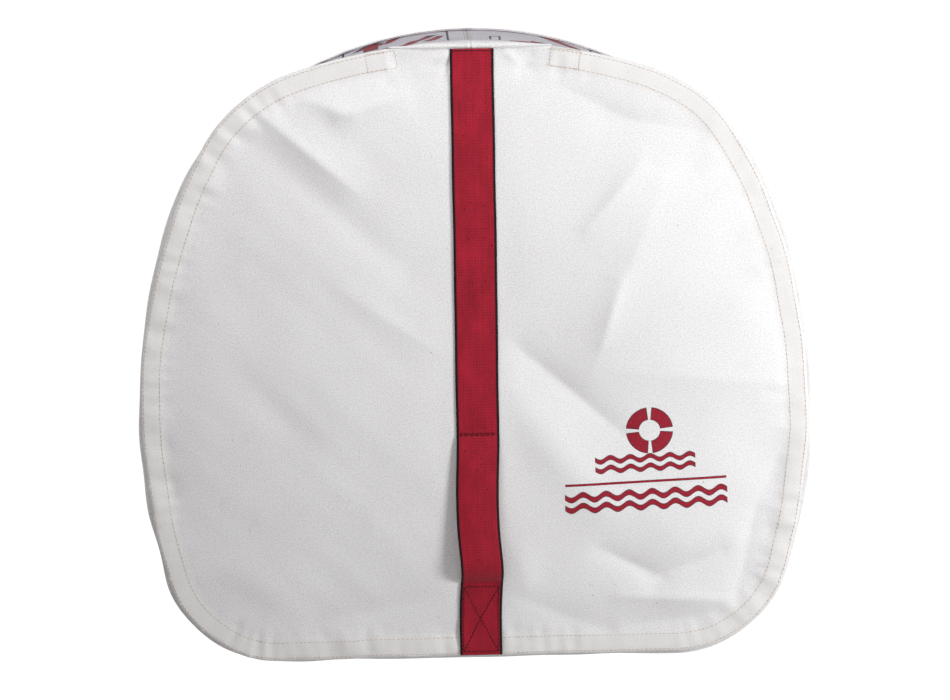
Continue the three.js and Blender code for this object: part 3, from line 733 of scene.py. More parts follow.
def moulded_plastic(name, light, dark):
    """Black acetal: a fine spark-eroded grain, and marks left by handling."""
    made = Finish(name, light, 0.42, Specular_IOR_Level=0.5)
    grain = made.noise(made.places(), 2600.0, 2.0, 0.6)
    marks = made.noise(made.places((1, 1, 6)), 160.0, 4.0, 0.7)
    made.colour(made.blend(made.stretch(marks, 0.35, 0.75), dark, light))
    made.roughness(made.stretch(marks, 0.3, 0.75, 0.34, 0.56))
    made.bump(grain, 0.00006, 0.5)
    return made.material


def nickel(name):
    """Plated brass, brushed round by use and dulled by salt."""
    made = Finish(name, (0.62, 0.62, 0.60), 0.28, Metallic=1.0)
    salt = made.noise(made.places(), 420.0, 5.0, 0.7)
    scratches = made.noise(made.places((8, 1, 1)), 700.0, 2.0, 0.6)
    made.colour(made.blend(made.stretch(salt, 0.45, 0.72), (0.66, 0.65, 0.63), (0.40, 0.40, 0.39)))
    worn = made.maths("ADD", salt, made.maths("MULTIPLY", scratches, 0.4))
    made.roughness(made.stretch(worn, 0.5, 1.1, 0.18, 0.48))
    made.bump(scratches, 0.00003, 0.5)
    return made.material


def buoy_cloth(name, light, dark):
    """Coated nylon: a fine weave under a thin skin, with a little dirt and rubbed places."""
    made = Finish(name, light, 0.45, Specular_IOR_Level=0.45, Coat_Weight=0.12, Coat_Roughness=0.4)
    where = made.places()
    weave = made.node("TexVoronoi", {"distance": "CHEBYCHEV"}, Vector=where, Scale=1500.0).outputs["Distance"]
    clouds = made.noise(where, 14.0, 5.0, 0.6)
    scuffs = made.noise(made.places((1, 1, 2.4)), 55.0, 6.0, 0.72)
    base = made.blend(made.stretch(clouds, 0.3, 0.72), dark, light)
    scuffed = made.maths("MULTIPLY", made.stretch(scuffs, 0.58, 0.76), 0.5, clamp=True)
    made.colour(made.blend(scuffed, base, tuple(c * 0.72 + 0.02 for c in dark)))
    made.roughness(made.stretch(scuffs, 0.35, 0.75, 0.38, 0.62))
    folds = made.bump(made.noise(where, 70.0, 3.0), 0.0008, 0.5)
    made.bump(weave, 0.00012, 0.5, folds)
    return made.material


def ripstop(name, light, dark):
    """Light nylon with a heavier thread every few millimetres each way."""
    made = Finish(name, light, 0.55, Specular_IOR_Level=0.4, Sheen_Weight=0.15)
    where = made.places()
    axes = made.node("SeparateXYZ", Vector=where)
    lines = []
    for axis in ("X", "Z"):
        wave = made.maths("SINE", made.maths("MULTIPLY", axes.outputs[axis], 2 * math.pi / 0.006))
        lines.append(made.stretch(wave, 0.90, 1.0))
    grid = made.maths("MAXIMUM", *lines)
    clouds = made.noise(where, 30.0, 4.0)
    base = made.blend(made.stretch(clouds, 0.3, 0.7), dark, light)
    made.colour(made.blend(made.maths("MULTIPLY", grid, 0.45), base, dark))
    made.roughness(made.stretch(clouds, 0.3, 0.7, 0.48, 0.64))
    folds = made.bump(made.noise(where, 120.0, 3.0), 0.0007, 0.5)
    made.bump(grid, 0.00012, 0.6, folds)
    return made.material


def closed_cell_foam(name, light, dark):
    """Foam cut with a hot wire, its cells just open at the surface."""
    made = Finish(name, light, 0.85, Specular_IOR_Level=0.25)
    cells = made.node("TexVoronoi", Vector=made.places(), Scale=900.0).outputs["Distance"]
    tone = made.noise(made.places(), 40.0, 4.0)
    made.colour(made.blend(made.stretch(tone, 0.3, 0.7), dark, light))
    made.roughness(made.stretch(cells, 0.0, 0.8, 0.75, 0.95))
    made.bump(cells, 0.0003, 0.8)
    return made.material


def reflective_tape(name, light, dark):
    """Grey reflective tape: sealed cells in a lattice, with dulled and darker places."""
    made = Finish(name, light, 0.3, Metallic=0.55, Specular_IOR_Level=0.6, Coat_Weight=0.5,
                  Coat_Roughness=0.15)
    across, along, _ = made.node("SeparateXYZ", Vector=made.cloth()).outputs
    walls = []
    for operation in ("ADD", "SUBTRACT"):
        diagonal = made.maths(operation, across, along)
        wave = made.maths("SINE", made.maths("MULTIPLY", diagonal, 2 * math.pi / 0.0062))
        walls.append(made.stretch(wave, 0.93, 1.0))
    lattice = made.maths("MAXIMUM", *walls)
    wear = made.noise(made.places(), 90.0, 5.0, 0.7)
    base = made.blend(made.maths("MULTIPLY", lattice, 0.6), light, dark)
    made.colour(made.blend(made.stretch(wear, 0.5, 0.8), base, tuple(c * 0.8 for c in dark)))
    made.roughness(made.stretch(wear, 0.3, 0.75, 0.22, 0.5))
    made.bump(lattice, 0.00015, 0.6)
    return made.material


MOULDED = moulded_plastic("black_acetal", (0.030, 0.030, 0.033), (0.014, 0.014, 0.016))
EYELET = nickel("plated_brass")
BUOY_CLOTH = buoy_cloth("buoy_nylon", (0.86, 0.50, 0.020), (0.74, 0.39, 0.012))
BAG_CLOTH = ripstop("bag_nylon", (0.72, 0.130, 0.022), (0.50, 0.075, 0.012))
FOAM = closed_cell_foam("foam_cells", (0.70, 0.70, 0.66), (0.58, 0.58, 0.54))
REFLECTIVE = reflective_tape("reflective_cells", (0.62, 0.63, 0.65), (0.36, 0.37, 0.39))


# ---- Printed shapes --------------------------------------------------------------------------------
def with_points(corners, step=0.005):
    """A shape's outline with points along its sides, so that it bends with the cloth."""
    sides = []
    for start, end in zip(corners, np.roll(corners, -1, axis=0)):
        count = math.ceil(np.linalg.norm(end - start) / step)
        sides.append(np.linspace(start, end, count + 1)[:-1])
    return np.vstack(sides)


def circle(u, v, radius, count):
    turn = np.linspace(0, 2 * math.pi, count + 1)[:-1]
    return np.column_stack([u + radius * np.cos(turn), v + radius * np.sin(turn)])


def slanted(start, end, thick):
    """A straight stroke between two points."""
    start, end = np.array(start), np.array(end)
    run = end - start
    aside = np.array([-run[1], run[0]]) / np.linalg.norm(run) * thick / 2
    return with_points(np.array([start + aside, start - aside, end - aside, end + aside]))


def rectangle(u, v, width, height):
    signs = np.array([(-1, -1), (1, -1), (1, 1), (-1, 1)])
    return with_points((u, v) + signs * (width / 2, height / 2))


def frame_lines(u, v, width, height, line):
    """A rectangular frame as its outer and its inner edge."""
    return [rectangle(u, v, width, height), rectangle(u, v, width - 2 * line, height - 2 * line)]


def ring_sector(u, v, inner, outer, start, end, grow=0.0):
    """A piece of a ring between two angles."""
    turn = grow / (inner + outer) * 2
    angles = np.radians(np.linspace(start, end, 12)) + np.linspace(-turn, turn, 12)
    outside = np.column_stack([u + (outer + grow) * np.cos(angles), v + (outer + grow) * np.sin(angles)])
    inside = np.column_stack([u + (inner - grow) * np.cos(angles), v + (inner - grow) * np.sin(angles)])
    return np.vstack([outside, inside[::-1]])


def ring_buoy(u, v, inner, outer, gap, grow=0.0):
    """A ring in four pieces, the sign for a buoy."""
    return [ring_sector(u, v, inner, outer, a + gap, a + 90 - gap, grow) for a in (0, 90, 180, 270)]


def wave_ribbon(u, v, width, rise, thick, length, grow=0.0):
    """A wavy stripe, the sign for water."""
    along = np.linspace(-width / 2 - grow, width / 2 + grow, round(width / 0.0015))
    swell = rise * np.sin(2 * math.pi * along / length)
    top = np.column_stack([u + along, v + swell + thick / 2 + grow])
    bottom = np.column_stack([u + along, v + swell - thick / 2 - grow])
    return np.vstack([top, bottom[::-1]])


def turned(line, centre, angle):
    """A flat line turned about a centre."""
    c, s = math.cos(math.radians(angle)), math.sin(math.radians(angle))
    away = line - np.asarray(centre)
    return np.column_stack([away[:, 0] * c - away[:, 1] * s, away[:, 0] * s + away[:, 1] * c]) + centre


def arrow(u, v, size, angle):
    """A straight arrow, turned about its middle."""
    shape = np.array([(-1, -0.22), (0.15, -0.22), (0.15, -0.6), (1, 0),
                      (0.15, 0.6), (0.15, 0.22), (-1, 0.22)])
    return turned(shape * size, (0, 0), angle) + (u, v)


PRINT_MIDDLE = (0.1575, -0.293)
PRINT_TILT = 1.6


def flap_print(grow):
    """A ring buoy over two short waves, a line, and two long waves."""
    u, v = PRINT_MIDDLE
    shapes = ring_buoy(u + 0.005, v + 0.0345, 0.0105, 0.0215, 8, grow)
    for rise in (0.0085, -0.0005):
        shapes.append(wave_ribbon(u, v + rise, 0.093, 0.0020, 0.0036, 0.0186, grow))
    shapes.append(rectangle(u, v - 0.0140, 0.152, 0.0018 + grow))
    for rise in (-0.0260, -0.0365):
        shapes.append(wave_ribbon(u, v + rise, 0.152, 0.0026, 0.0046, 0.0217, grow))
    return [turned(shape, PRINT_MIDDLE, PRINT_TILT) for shape in shapes]


# ---- Flap ------------------------------------------------------------------------------------------
def normals_of(line):
    """Outward normals of a closed clockwise line."""
    along = np.roll(line, -1, axis=0) - np.roll(line, 1, axis=0)
    return unit(np.column_stack([-along[:, 1], along[:, 0]]))


def wandering(line, size, amount, seed):
    """A sewn edge is never an exact curve: it wanders a little in and out, except at the hinge."""
    shift = amount * ripple_along(lengths_along(line), size, seed)
    return line + normals_of(line) * (shift * (line[:, 1] < 0.085))[:, None]


def flap_line(inset=0.0):
    """The flap's edge as it was sewn, or a line inside it."""
    line = closed_outline(FLAP_ARCS, FLAP_TOP)
    line = wandering(line, 0.05, 0.0007, 21)
    line = line - normals_of(line) * inset
    line[:, 1] = np.minimum(line[:, 1], FLAP_HIGH.z + 0.0026 - inset)
    return line


FLAP_EDGE = Edge(flap_line())
HEM_SEAMS = (0.0028, 0.0178)  # how far in from the edge they run
SEWN_HALF, SEWN_ABOVE = 0.0745, 0.060  # the flap has no hem where its top edge is sewn into the roll

# Folds and creases of the hanging flap: start, end, width or widths, height.
FLAP_FOLDS = (
    ((-0.195, 0.046), (-0.118, -0.020), (0.015, 0.013), 0.0058),
    ((-0.190, 0.008), (-0.073, -0.092), 0.015, -0.0020),
    ((-0.148, 0.054), (-0.111, 0.042), (0.013, 0.015), 0.0050),
    ((-0.118, 0.042), (-0.066, 0.056), (0.013, 0.015), 0.0056),
    ((-0.217, -0.035), (-0.116, -0.124), 0.032, 0.0016),
    ((-0.116, -0.124), (-0.033, -0.180), (0.034, 0.018), 0.0030),
    ((-0.210, -0.206), (-0.164, -0.263), 0.020, -0.0014),
    ((-0.170, -0.190), (-0.040, -0.290), 0.030, 0.0014),
    ((-0.259, -0.375), (-0.176, -0.414), 0.020, 0.0012),
    ((0.044, -0.181), (0.130, -0.256), (0.016, 0.028), -0.0062),
    ((0.034, -0.224), (0.114, -0.329), 0.022, 0.0034),
    ((0.170, -0.037), (0.116, -0.178), (0.050, 0.024), 0.0050),
    ((0.162, -0.204), (0.292, -0.218), (0.040, 0.020), 0.0030),
    ((0.150, -0.013), (0.107, -0.063), (0.012, 0.005), 0.0036),
    ((0.134, -0.118), (0.119, -0.171), (0.006, 0.012), 0.0036),
    ((0.083, 0.062), (0.138, 0.035), (0.016, 0.026), -0.0042),
    ((0.129, 0.033), (0.212, 0.020), (0.018, 0.028), -0.0052),
    ((0.282, -0.291), (0.259, -0.350), (0.020, 0.016), -0.0040),
    ((0.260, -0.346), (0.246, -0.417), (0.020, 0.016), -0.0046),
    ((0.118, -0.374), (0.170, -0.401), (0.012, 0.014), -0.0046),
    ((0.167, -0.401), (0.227, -0.379), (0.012, 0.014), -0.0046),
    ((0.138, -0.419), (0.228, -0.425), (0.010, 0.010), 0.0036),
    ((0.149, -0.448), (0.220, -0.438), (0.010, 0.008), -0.0022),
    ((0.040, -0.372), (0.045, -0.408), 0.013, 0.0016),
    ((-0.033, -0.415), (-0.145, -0.437), (0.016, 0.024), -0.0026),
    ((0.036, -0.418), (0.115, -0.452), (0.022, 0.014), -0.0024),
    ((0.281, -0.108), (0.303, -0.102), 0.006, -0.0012),
    ((0.274, -0.225), (0.305, -0.231), 0.006, -0.0012),
    ((0.060, 0.102), (0.046, 0.076), (0.005, 0.007), -0.0030),
    ((0.028, 0.103), (0.041, 0.087), 0.004, 0.0016),
    ((-0.017, 0.101), (-0.029, 0.088), 0.004, 0.0018),
    ((-0.017, 0.090), (-0.027, 0.071), 0.004, -0.0016),
    ((-0.058, 0.104), (-0.077, 0.072), (0.007, 0.007), -0.0026),
    ((0.165, 0.050), (0.150, -0.120), 0.075, 0.0038),
)


def hem_relief(u, v, d, s):
    """Puckers along the hem, its step and the grooves of its seams. None where the flap is sewn on."""
    inner = np.maximum(0, d - HEM)
    pucker = 0.0003 + 0.00075 * ripple(s, 0.3 * d, 0.0085, 14) + 0.00105 * ripple(s, 0.6 * d, 0.019, 15)
    pucker *= 0.25 + 0.75 * smooth_step(0.5 + 0.5 * ripple_along(s, 0.11, 17))
    pucker *= bell(inner, 0.010) * (0.35 + 0.65 * smooth_step(d / 0.006))
    ridge = 0.00055 * (1 - smooth_step((d - HEM + 0.0005) / 0.0022))
    grooves = 0.00050 * bell(d - HEM + 0.0012, 0.0010) + 0.0003 * bell(d - HEM_SEAMS[0], 0.0009)
    sewn_edge = 1 - smooth_step((v - 0.075) / 0.012) * (np.abs(u) < SEWN_HALF)
    return (pucker + ridge - grooves) * sewn_edge


def flap_height(u, v):
    """How far the flap's face stands forward of its flat place."""
    d, s = FLAP_EDGE.measure(u, v)
    inner = np.maximum(0, d - HEM)
    beside_strap = 0.25 + 0.75 * smooth_step((np.abs(u) - 0.018) / 0.030)
    sewn_top = smooth_step((0.078 - np.abs(u)) / 0.012) * smooth_step((v - 0.045) / 0.03)
    crown = FLAP_CROWN * (1 - np.exp(-((inner / 0.075) ** 1.12)))
    soft = 0.0012 * ripple(u, v, 0.13, 11) + 0.00028 * ripple(u, v, 0.045, 12)
    streaks = 0.00022 * ripple(0.9 * u + 0.9 * v, 0.16 * (v - u), 0.022, 13) * smooth_step((0.02 - u) / 0.1)
    free = crown + smooth_step(inner / 0.045) * beside_strap * (soft + streaks)
    folds = sum(fold(u, v, *each) for each in FLAP_FOLDS)
    held = np.maximum(smooth_step((d - 0.012) / 0.018), sewn_top * smooth_step(d / 0.012))
    free += held * np.maximum(beside_strap, sewn_top) * folds
    waves = 0.0010 * ripple_along(s, 0.075, 16) * (1 - smooth_step(d / 0.06))
    return free + waves * (1 - sewn_top) + hem_relief(u, v, d, s)


def on_flap(u, v):
    """Places on the flap's face."""
    return np.column_stack([u, FLAP_LOW.y - flap_height(u, v), v])


def between_hem_ends(line):
    """The part of a line round the flap that runs from one end of the sewn top edge to the other."""
    hidden = (line[:, 1] > SEWN_ABOVE) & (line[:, 0] > HEM_ENDS[0]) & (line[:, 0] < HEM_ENDS[1])
    first = int(np.argmax(~hidden & (line[:, 0] > 0)))
    return np.roll(line, -first, axis=0)[: int((~hidden).sum())]


def stitch_flap(flap):
    """The hem's two seams, and a sewn box at each of its ends."""
    hem = [between_hem_ends(flap_line(inset)) for inset in HEM_SEAMS]
    boxes = []
    top = FLAP_TOP - 0.0085
    for middle in (-0.0825, 0.0875):
        tilt = -8 * math.copysign(1, middle)
        for line in box_stitch((middle - 0.0135, top - 0.0165), (middle + 0.0135, top), False):
            boxes.append(turned(np.array(line), (middle, top), tilt))
    seams = [seam(hem, on_flap), seam(boxes, on_flap, 0.0030)]
    return stitching("flap_stitching", seams, BEIGE_THREAD, flap)


def make_flap():
    """The flap, of one cloth with its edge turned in twice. Its inside is greyer: partly its coating, partly
    painted shade.
    """
    outline = FLAP_EDGE.line[:-1]
    creases = [between_hem_ends(flap_line(inset)) for inset in (*HEM_SEAMS, HEM)]
    panel = cut_panel(outline, 0.0029, creases, (), (flap_print(0.0006), flap_print(0.0)))
    flat = panel[0]
    d, _ = FLAP_EDGE.measure(*flat.T)
    front = on_flap(*flat.T)
    round_over = 0.0005 * (1 - smooth_step(d / 0.0012))
    front[:, 1] += round_over
    double = 0.0007 * (1 - smooth_step((d - HEM) / 0.002))
    back = front + (0, 1, 0) * (FABRIC + double - 1.6 * round_over)[:, None]
    lined = np.where(d[panel[1]].min(axis=1) > HEM - 0.0001, 3, 0)
    flap = sewn("flap_cloth", "flap", panel, (front, back), [CASE, DARK_INK, RED_INK, INNER_FACE_AND_SHADE], "flap_panel",
                lined)
    sewn_on = (flat[:, 1] > SEWN_ABOVE) & (np.abs(flat[:, 0]) < SEWN_HALF)
    hem = np.tile((d < HEM) & ~sewn_on, 2).astype(np.float32)
    flap.data.attributes.new("hem", "FLOAT", "POINT").data.foreach_set("value", hem)
    stitches = stitch_flap(flap)


# ---- Pull strap and handle ---------------------------------------------------------------------------
STRAP_WIDTH = STRAP_HIGH.x - STRAP_LOW.x
STRAP_THICKNESS = 0.0017
HANDLE_FOOT = FLAP_LOW.z + 0.074
HANDLE_TOP = HANDLE_FOOT + 0.143
HANDLE_BULGE = 0.0155


def up_handle(v):
    """How far up the handle a height is, from 0 at its foot to 1 at its top."""
    return np.clip((v - HANDLE_FOOT) / (HANDLE_TOP - HANDLE_FOOT), 0, 1)


def strap_sway(v):
    """The strap was sewn on by eye, and the handle hangs a little to one side."""
    swing = 0.0022 * bell(v - HANDLE_FOOT - 0.012, 0.028) - 0.0016 * np.sin(math.pi * up_handle(v)) ** 2
    return 0.0012 + swing + 0.0004 * ripple_along(v, 0.06, 31)


def strap_lift(v):
    """The handle stands out most just above its foot, where it turns back sharply."""
    t = up_handle(v)
    rise = 1 - np.exp(-((t / 0.075) ** 1.5))
    return HANDLE_BULGE * 1.25 * rise * (1 - t) ** 0.75 * (1 - 0.25 * np.sin(math.pi * t))


def strap_back(v):
    """How far forward the strap's back lies."""
    under = np.max([flap_height(np.full_like(v, u), v) for u in (-0.012, 0.0, 0.012)], axis=0)
    return under + strap_lift(v) * 0.93


def on_strap(u, v):
    """Places on the strap's face."""
    return np.column_stack([u + strap_sway(v), FLAP_LOW.y - strap_back(v) - STRAP_THICKNESS - 0.0002, v])


def make_pull_strap():
    """Webbing down the middle of the flap, loose over the handle and sewn down below it."""
    v = np.arange(STRAP_LOW.z + 0.0003, STRAP_HIGH.z - 0.0002, 0.0015)
    line = np.column_stack([strap_sway(v), FLAP_LOW.y - strap_back(v) - STRAP_THICKNESS / 2 - 0.0002, v])
    strap = band_mesh("pull_strap", line, (1, 0, 0), STRAP_WIDTH, STRAP_THICKNESS, RED_WEB)
    loop = places_of(strap)
    cup = 0.0016 * np.sin(math.pi * up_handle(loop[:, 2])) * ((loop[:, 0] / 0.020) ** 2)
    dip = 0.0005 * bell(loop[:, 2] - HANDLE_TOP, 0.0012) + 0.0006 * bell(loop[:, 2] - HANDLE_FOOT, 0.0014)
    loop[:, 1] += cup + dip * (np.abs(loop[:, 0]) < 0.019)
    put(strap, loop)
    fit(strap, "flap", ["flap_pull_strap"])
    half, top, sewn_top = STRAP_WIDTH / 2, HANDLE_TOP, STRAP_HIGH.z - 0.0022
    rows = box_stitch((-half + 0.0035, STRAP_LOW.z + 0.004), (half - 0.0035, HANDLE_FOOT - 0.004))
    rows += [[(-half + 0.0035, top + 0.0015), (half - 0.0035, top + 0.0015)]]
    dots = [(-half + 0.003, top), (half - 0.003, top)]
    # A close row of dark stitches across the strap's top end: painted shadow of the roll above it.
    roll_shadow_row = [(-half + 0.0005, sewn_top), (half - 0.0005, sewn_top)]
    seams = [seam(rows, on_strap, 0.0036), seam([dots], on_strap, 0.0046, 0.6),
             seam([roll_shadow_row], on_strap, 0.0024, 0.9)]
    stitching("strap_stitching", seams, DARK_THREAD, strap, 0.0004)


# ---- Case -------------------------------------------------------------------------------------------
ROLL_SIDES = 22


def roll_section(x, share):
    """The roll's cross-section at x, and behind it the web that joins it to the gusset. share thins it."""
    front, back = BRIM_LOW.y, BRIM_HIGH.y
    radius = GUSSET_ARCS[0][0]
    top = GUSSET_TOP - radius + math.sqrt(radius**2 - x**2) - 0.0002
    seam_line = 0.0005 * bell(x, 0.0006) - 0.0004 * bell(abs(x) - 0.0022, 0.001)
    r = (0.0027 + 0.00025 * float(ripple_along(x, 0.03, 41)) - seam_line) * share
    low = HINGE.z - 0.0019 - 0.0012 * (1 - share)
    angles = np.radians(np.linspace(38, 322, ROLL_SIDES))
    y, z = HINGE.y - 0.0006 + r * np.cos(angles), low + r * np.sin(angles)
    roll = np.column_stack([np.full(ROLL_SIDES, x), y, z])
    web = [(front, HINGE.z - 0.0030), (back - 0.0006, HINGE.z - 0.0032), (back, HINGE.z - 0.0026),
           (back, top - 0.0006), (back - 0.0006, top), (front + 0.0003, top),
           (front - 0.0012, top - 0.0009), (front - 0.0028, (top + low + r) / 2)]
    return np.vstack([roll, [(x, *place) for place in web]])


def make_hinge_fold():
    """The gusset's front edge at the top, brought forward and down into the roll that the flap hangs from."""
    half = FOLD_HIGH.x
    x = np.linspace(-half, half, 221)
    share = 0.34 + 0.66 * smooth_step((x + 0.066) / 0.030) * smooth_step((half - x) / 0.045)
    share *= np.sqrt(np.clip(1 - np.clip((np.abs(x) - half + 0.002) / 0.002, 0, 1) ** 2, 0.05, 1))
    points = np.array([roll_section(*each) for each in zip(x, share)])
    around = lengths_along(points[len(x) // 2])
    flat = np.stack(np.broadcast_arrays(x[:, None], around[None, :]), -1)
    sides = points.shape[1]
    faces = tube_faces(len(x), sides)
    web = [all(index % sides >= ROLL_SIDES for index in face) for face in faces]
    points, flat = points.reshape(-1, 3), flat.reshape(-1, 2)
    roll = mesh_object("hinge_roll", points, faces, [CASE, GUSSET_PAINTED_SHADE], web, flat)
    fit(roll, "case", ["case_hinge_fold"])


class Walk:
    """Places along half of an outline, by the distance from its top centre, with outward normals."""

    def __init__(self, arcs, top, side):
        right = arc_points(arcs, top, 0.002)
        line = np.vstack([right, [(0, right[-1, 1])]]) * (side, 1)
        self.line = resample(line, 0.002)
        self.along = lengths_along(self.line)
        self.length = self.along[-1]
        step = np.gradient(self.line, axis=0)
        self.out = unit(np.column_stack([-step[:, 1], step[:, 0]]) * side)

    def at(self, s):
        place = np.column_stack([np.interp(s, self.along, self.line[:, k]) for k in (0, 1)])
        out = np.column_stack([np.interp(s, self.along, self.out[:, k]) for k in (0, 1)])
        return place, unit(out)


def gusset_prints(side):
    """Signs for use across the top of the case: ring buoys, arrows and strokes between rules, red on dark."""
    near, far = GUSSET_LOW.y + 0.008, GUSSET_HIGH.y - 0.003
    middle, reach = (near + far) / 2, far - near
    dark = [rectangle(0.121, middle, 0.0022, reach)]
    if side > 0:
        dark += frame_lines(0.026, far - 0.052, 0.011, 0.026, 0.0020)
        red = [slanted((0.078, far - 0.004), (0.110, far - 0.052), 0.0130),
               arrow(0.058, far - 0.060, 0.014, 0)]
        rings = [(0.150, far - 0.060)]
    else:
        dark.append(rectangle(0.019, middle, 0.0022, reach))
        red = [arrow(0.093, far - 0.028, 0.026, 90),
               slanted((0.037, far - 0.030), (0.062, far - 0.092), 0.0085),
               arrow(0.148, far - 0.026, 0.022, 105),
               slanted((0.068, far - 0.003), (0.078, far - 0.024), 0.0080),
               slanted((0.027, far - 0.040), (0.038, far - 0.070), 0.0060)]
        rings = [(0.150, far - 0.088), (0.083, near + 0.034)]
    dark += [np.mean(line, 0) + (line - np.mean(line, 0)) * 1.28 for line in red]
    for u, v in rings:
        red += ring_buoy(u, v, 0.006, 0.013, 10)
    return dark, red


def make_gusset(side, word):
    """One half of the band between the flap and the back, slack across its depth, with a drain hole."""
    name = f"gusset_cloth_{word}"
    walk = Walk(GUSSET_ARCS, GUSSET_TOP, side)
    y_front, y_back = GUSSET_LOW.y, GUSSET_HIGH.y
    start, end = 0.00015, walk.length - 0.00015
    corners = np.array([(start, y_front), (end, y_front), (end, y_back), (start, y_back)])
    outline = resample_ring(corners, 0.004)
    drain_s = walk.length - DRAIN_X
    panel = cut_panel(outline, 0.0045, (), (circle(drain_s, DRAIN_Y, 0.0062, 24),), gusset_prints(side))

    def place(s, y, inwards=0.0):
        point, out = walk.at(s)
        t = np.clip((y - y_front) / (y_back - BINDING_LEG - 0.0005 - y_front), 0, 1)
        slack = np.sin(math.pi * t) ** 0.8
        sag = 0.0030 * slack * smooth_step((0.30 - s) / 0.25) + 0.0012 * slack * ripple(s, y, 0.06, 50 + side)
        sag += 0.0006 * ripple(s, y, 0.022, 53 + side) * slack
        pucker = 0.0005 * ripple_along(s, 0.009, 55 + side) * np.exp(-t / 0.08) * (1 - slack)
        shift = -(sag * (1 - bell(s - drain_s, 0.035)) + np.abs(pucker) + inwards)
        return at_depth(point + out * shift[:, None], y)

    flat = panel[0]
    skins = place(*flat.T), place(*flat.T, FABRIC)
    wall = sewn(name, "case", panel, skins, [GUSSET_PAINTED_SHADE, DARK_INK, RED_INK, INNER_FACE_AND_SHADE], f"case_gusset_{word}",
                3)
    rows = [[(s, y_front + 0.002), (s, y_back - 0.002)] for s in (0.003, walk.length - 0.003)]
    rows += [[(0.001, y_front + 0.004), (walk.length - 0.001, y_front + 0.004)]]
    starts, ends, _ = seam(rows, place)
    stitches = [(starts, ends, outwards(starts, MIDDLE_Z))]
    stitching(name + "_stitching", stitches, BEIGE_THREAD, wall)


def rim_line(middle, y, step=0.003):
    """The flap's outline moved out or in at a depth y, open at the sewn top edge, with its normals."""
    line = closed_outline(FLAP_ARCS, FLAP_TOP, 0.0, step)
    line = line[(np.abs(line[:, 0]) > 0.0753) | (line[:, 1] < 0)]
    first = int(np.argmax(line[:, 0] > 0))
    line = np.roll(line, -first, axis=0)
    out = normals_of(line)
    out[0], out[-1] = out[1], out[-2]
    return at_depth(line + out * middle, y), at_depth(out, 0)


def make_rim(name, node, body, material, inner, outer, wobble=0.0, tuck=0.0):
    """A flat band round the flap's outline. wobble makes it wander and tuck draws it in at the top."""
    low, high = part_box(node)
    line, out = rim_line((inner + outer) / 2, (low.y + high.y) / 2)
    line += out * (wobble * ripple_along(lengths_along(line), 0.045, 61))[:, None]
    line -= out * (tuck * smooth_step((line[:, 2] + 0.03) / 0.06))[:, None]
    rim = band_mesh(name, line, out, outer - inner, high.y - low.y, material)
    fit(rim, body, [node])


def make_rims():
    """The brim that the flap closes on, and the loop and hook tapes that hold it."""
    make_rim("brim", "case_brim", "case", CASE, -BRIM_WIDTH, 0.0028, 0.0011, 0.0052)
    make_rim("loop_tape", "case_loop_tape", "case", LOOP_PILE, -0.021, -0.001)
    make_rim("hook_tape", "flap_hook_tape", "flap", HOOKS, -0.021, -0.001)


def make_back_panel():
    """The flat back, pressed against the patch and a little slack between it and the edge."""
    outline = resample(closed_outline(GUSSET_ARCS, GUSSET_TOP), 0.004)
    hole = circle(0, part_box("line_exit_eyelet")[0].z + 0.010, 0.0062, 28)
    panel = cut_panel(outline, 0.0048, (), (hole,))
    flat = panel[0]
    u, v = flat.T
    d, _ = Edge(outline).measure(u, v)
    low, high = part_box("case_chafe_patch")
    past_patch = np.maximum(np.abs(u) - high.x, np.maximum(v - high.z, low.z - v))
    drape = 0.0011 * ripple(u, v, 0.10, 71) + 0.0005 * ripple(u, v, 0.03, 72) - 0.0014
    drape = drape * smooth_step(past_patch / 0.05) * smooth_step(d / 0.04)
    back = at_depth(flat, PANEL_HIGH.y)
    back[:, 1] += np.clip(drape, -0.0009, 0.0)
    skins = back, back - (0, FABRIC, 0)
    wall = sewn("back_cloth", "case", panel, skins, [CASE, INNER_FACE_AND_SHADE], "case_back_panel", 1)


def rounded_rectangle(width, height, corner, middle_z, turns, step):
    """An outline with round corners of so many points each, then evened out to a step."""
    points = []
    for x, z, start in ((1, 1, 0), (-1, 1, 90), (-1, -1, 180), (1, -1, 270)):
        for angle in np.radians(np.linspace(start, start + 90, turns)):
            points.append((x * (width / 2 - corner) + corner * math.cos(angle),
                           middle_z + z * (height / 2 - corner) + corner * math.sin(angle)))
    return resample_ring(np.array(points), step)


def make_chafe_patch():
    """A doubled patch where the case bears on the rail, sewn all round and across."""
    low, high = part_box("case_chafe_patch")
    outline = rounded_rectangle(high.x - low.x, high.z - low.z, 0.008, (low.z + high.z) / 2, 7, 0.003)
    panel = cut_panel(outline, 0.003)
    flat = panel[0]
    d, s = Edge(outline).measure(*flat.T)
    edge = 0.0006 * (1 - smooth_step(d / 0.0012)) + 0.0003 * bell(d - 0.004, 0.001)
    pucker = 0.00025 * np.abs(ripple_along(s, 0.008, 73)) * bell(d, 0.008)
    outer = at_depth(flat, high.y)
    outer[:, 1] -= edge + pucker
    skins = outer, at_depth(flat, low.y)
    patch = sewn("chafe_patch", "case", panel, skins, [CASE], "case_chafe_patch")
    rows = box_stitch((low.x + 0.004, low.z + 0.004), (high.x - 0.004, high.z - 0.004))
    lines = seam(rows, set_upright(high.y - 0.0002), 0.004, 0.72, (0, 1, 0))
    stitching("chafe_patch_stitching", [lines], BEIGE_THREAD, patch)


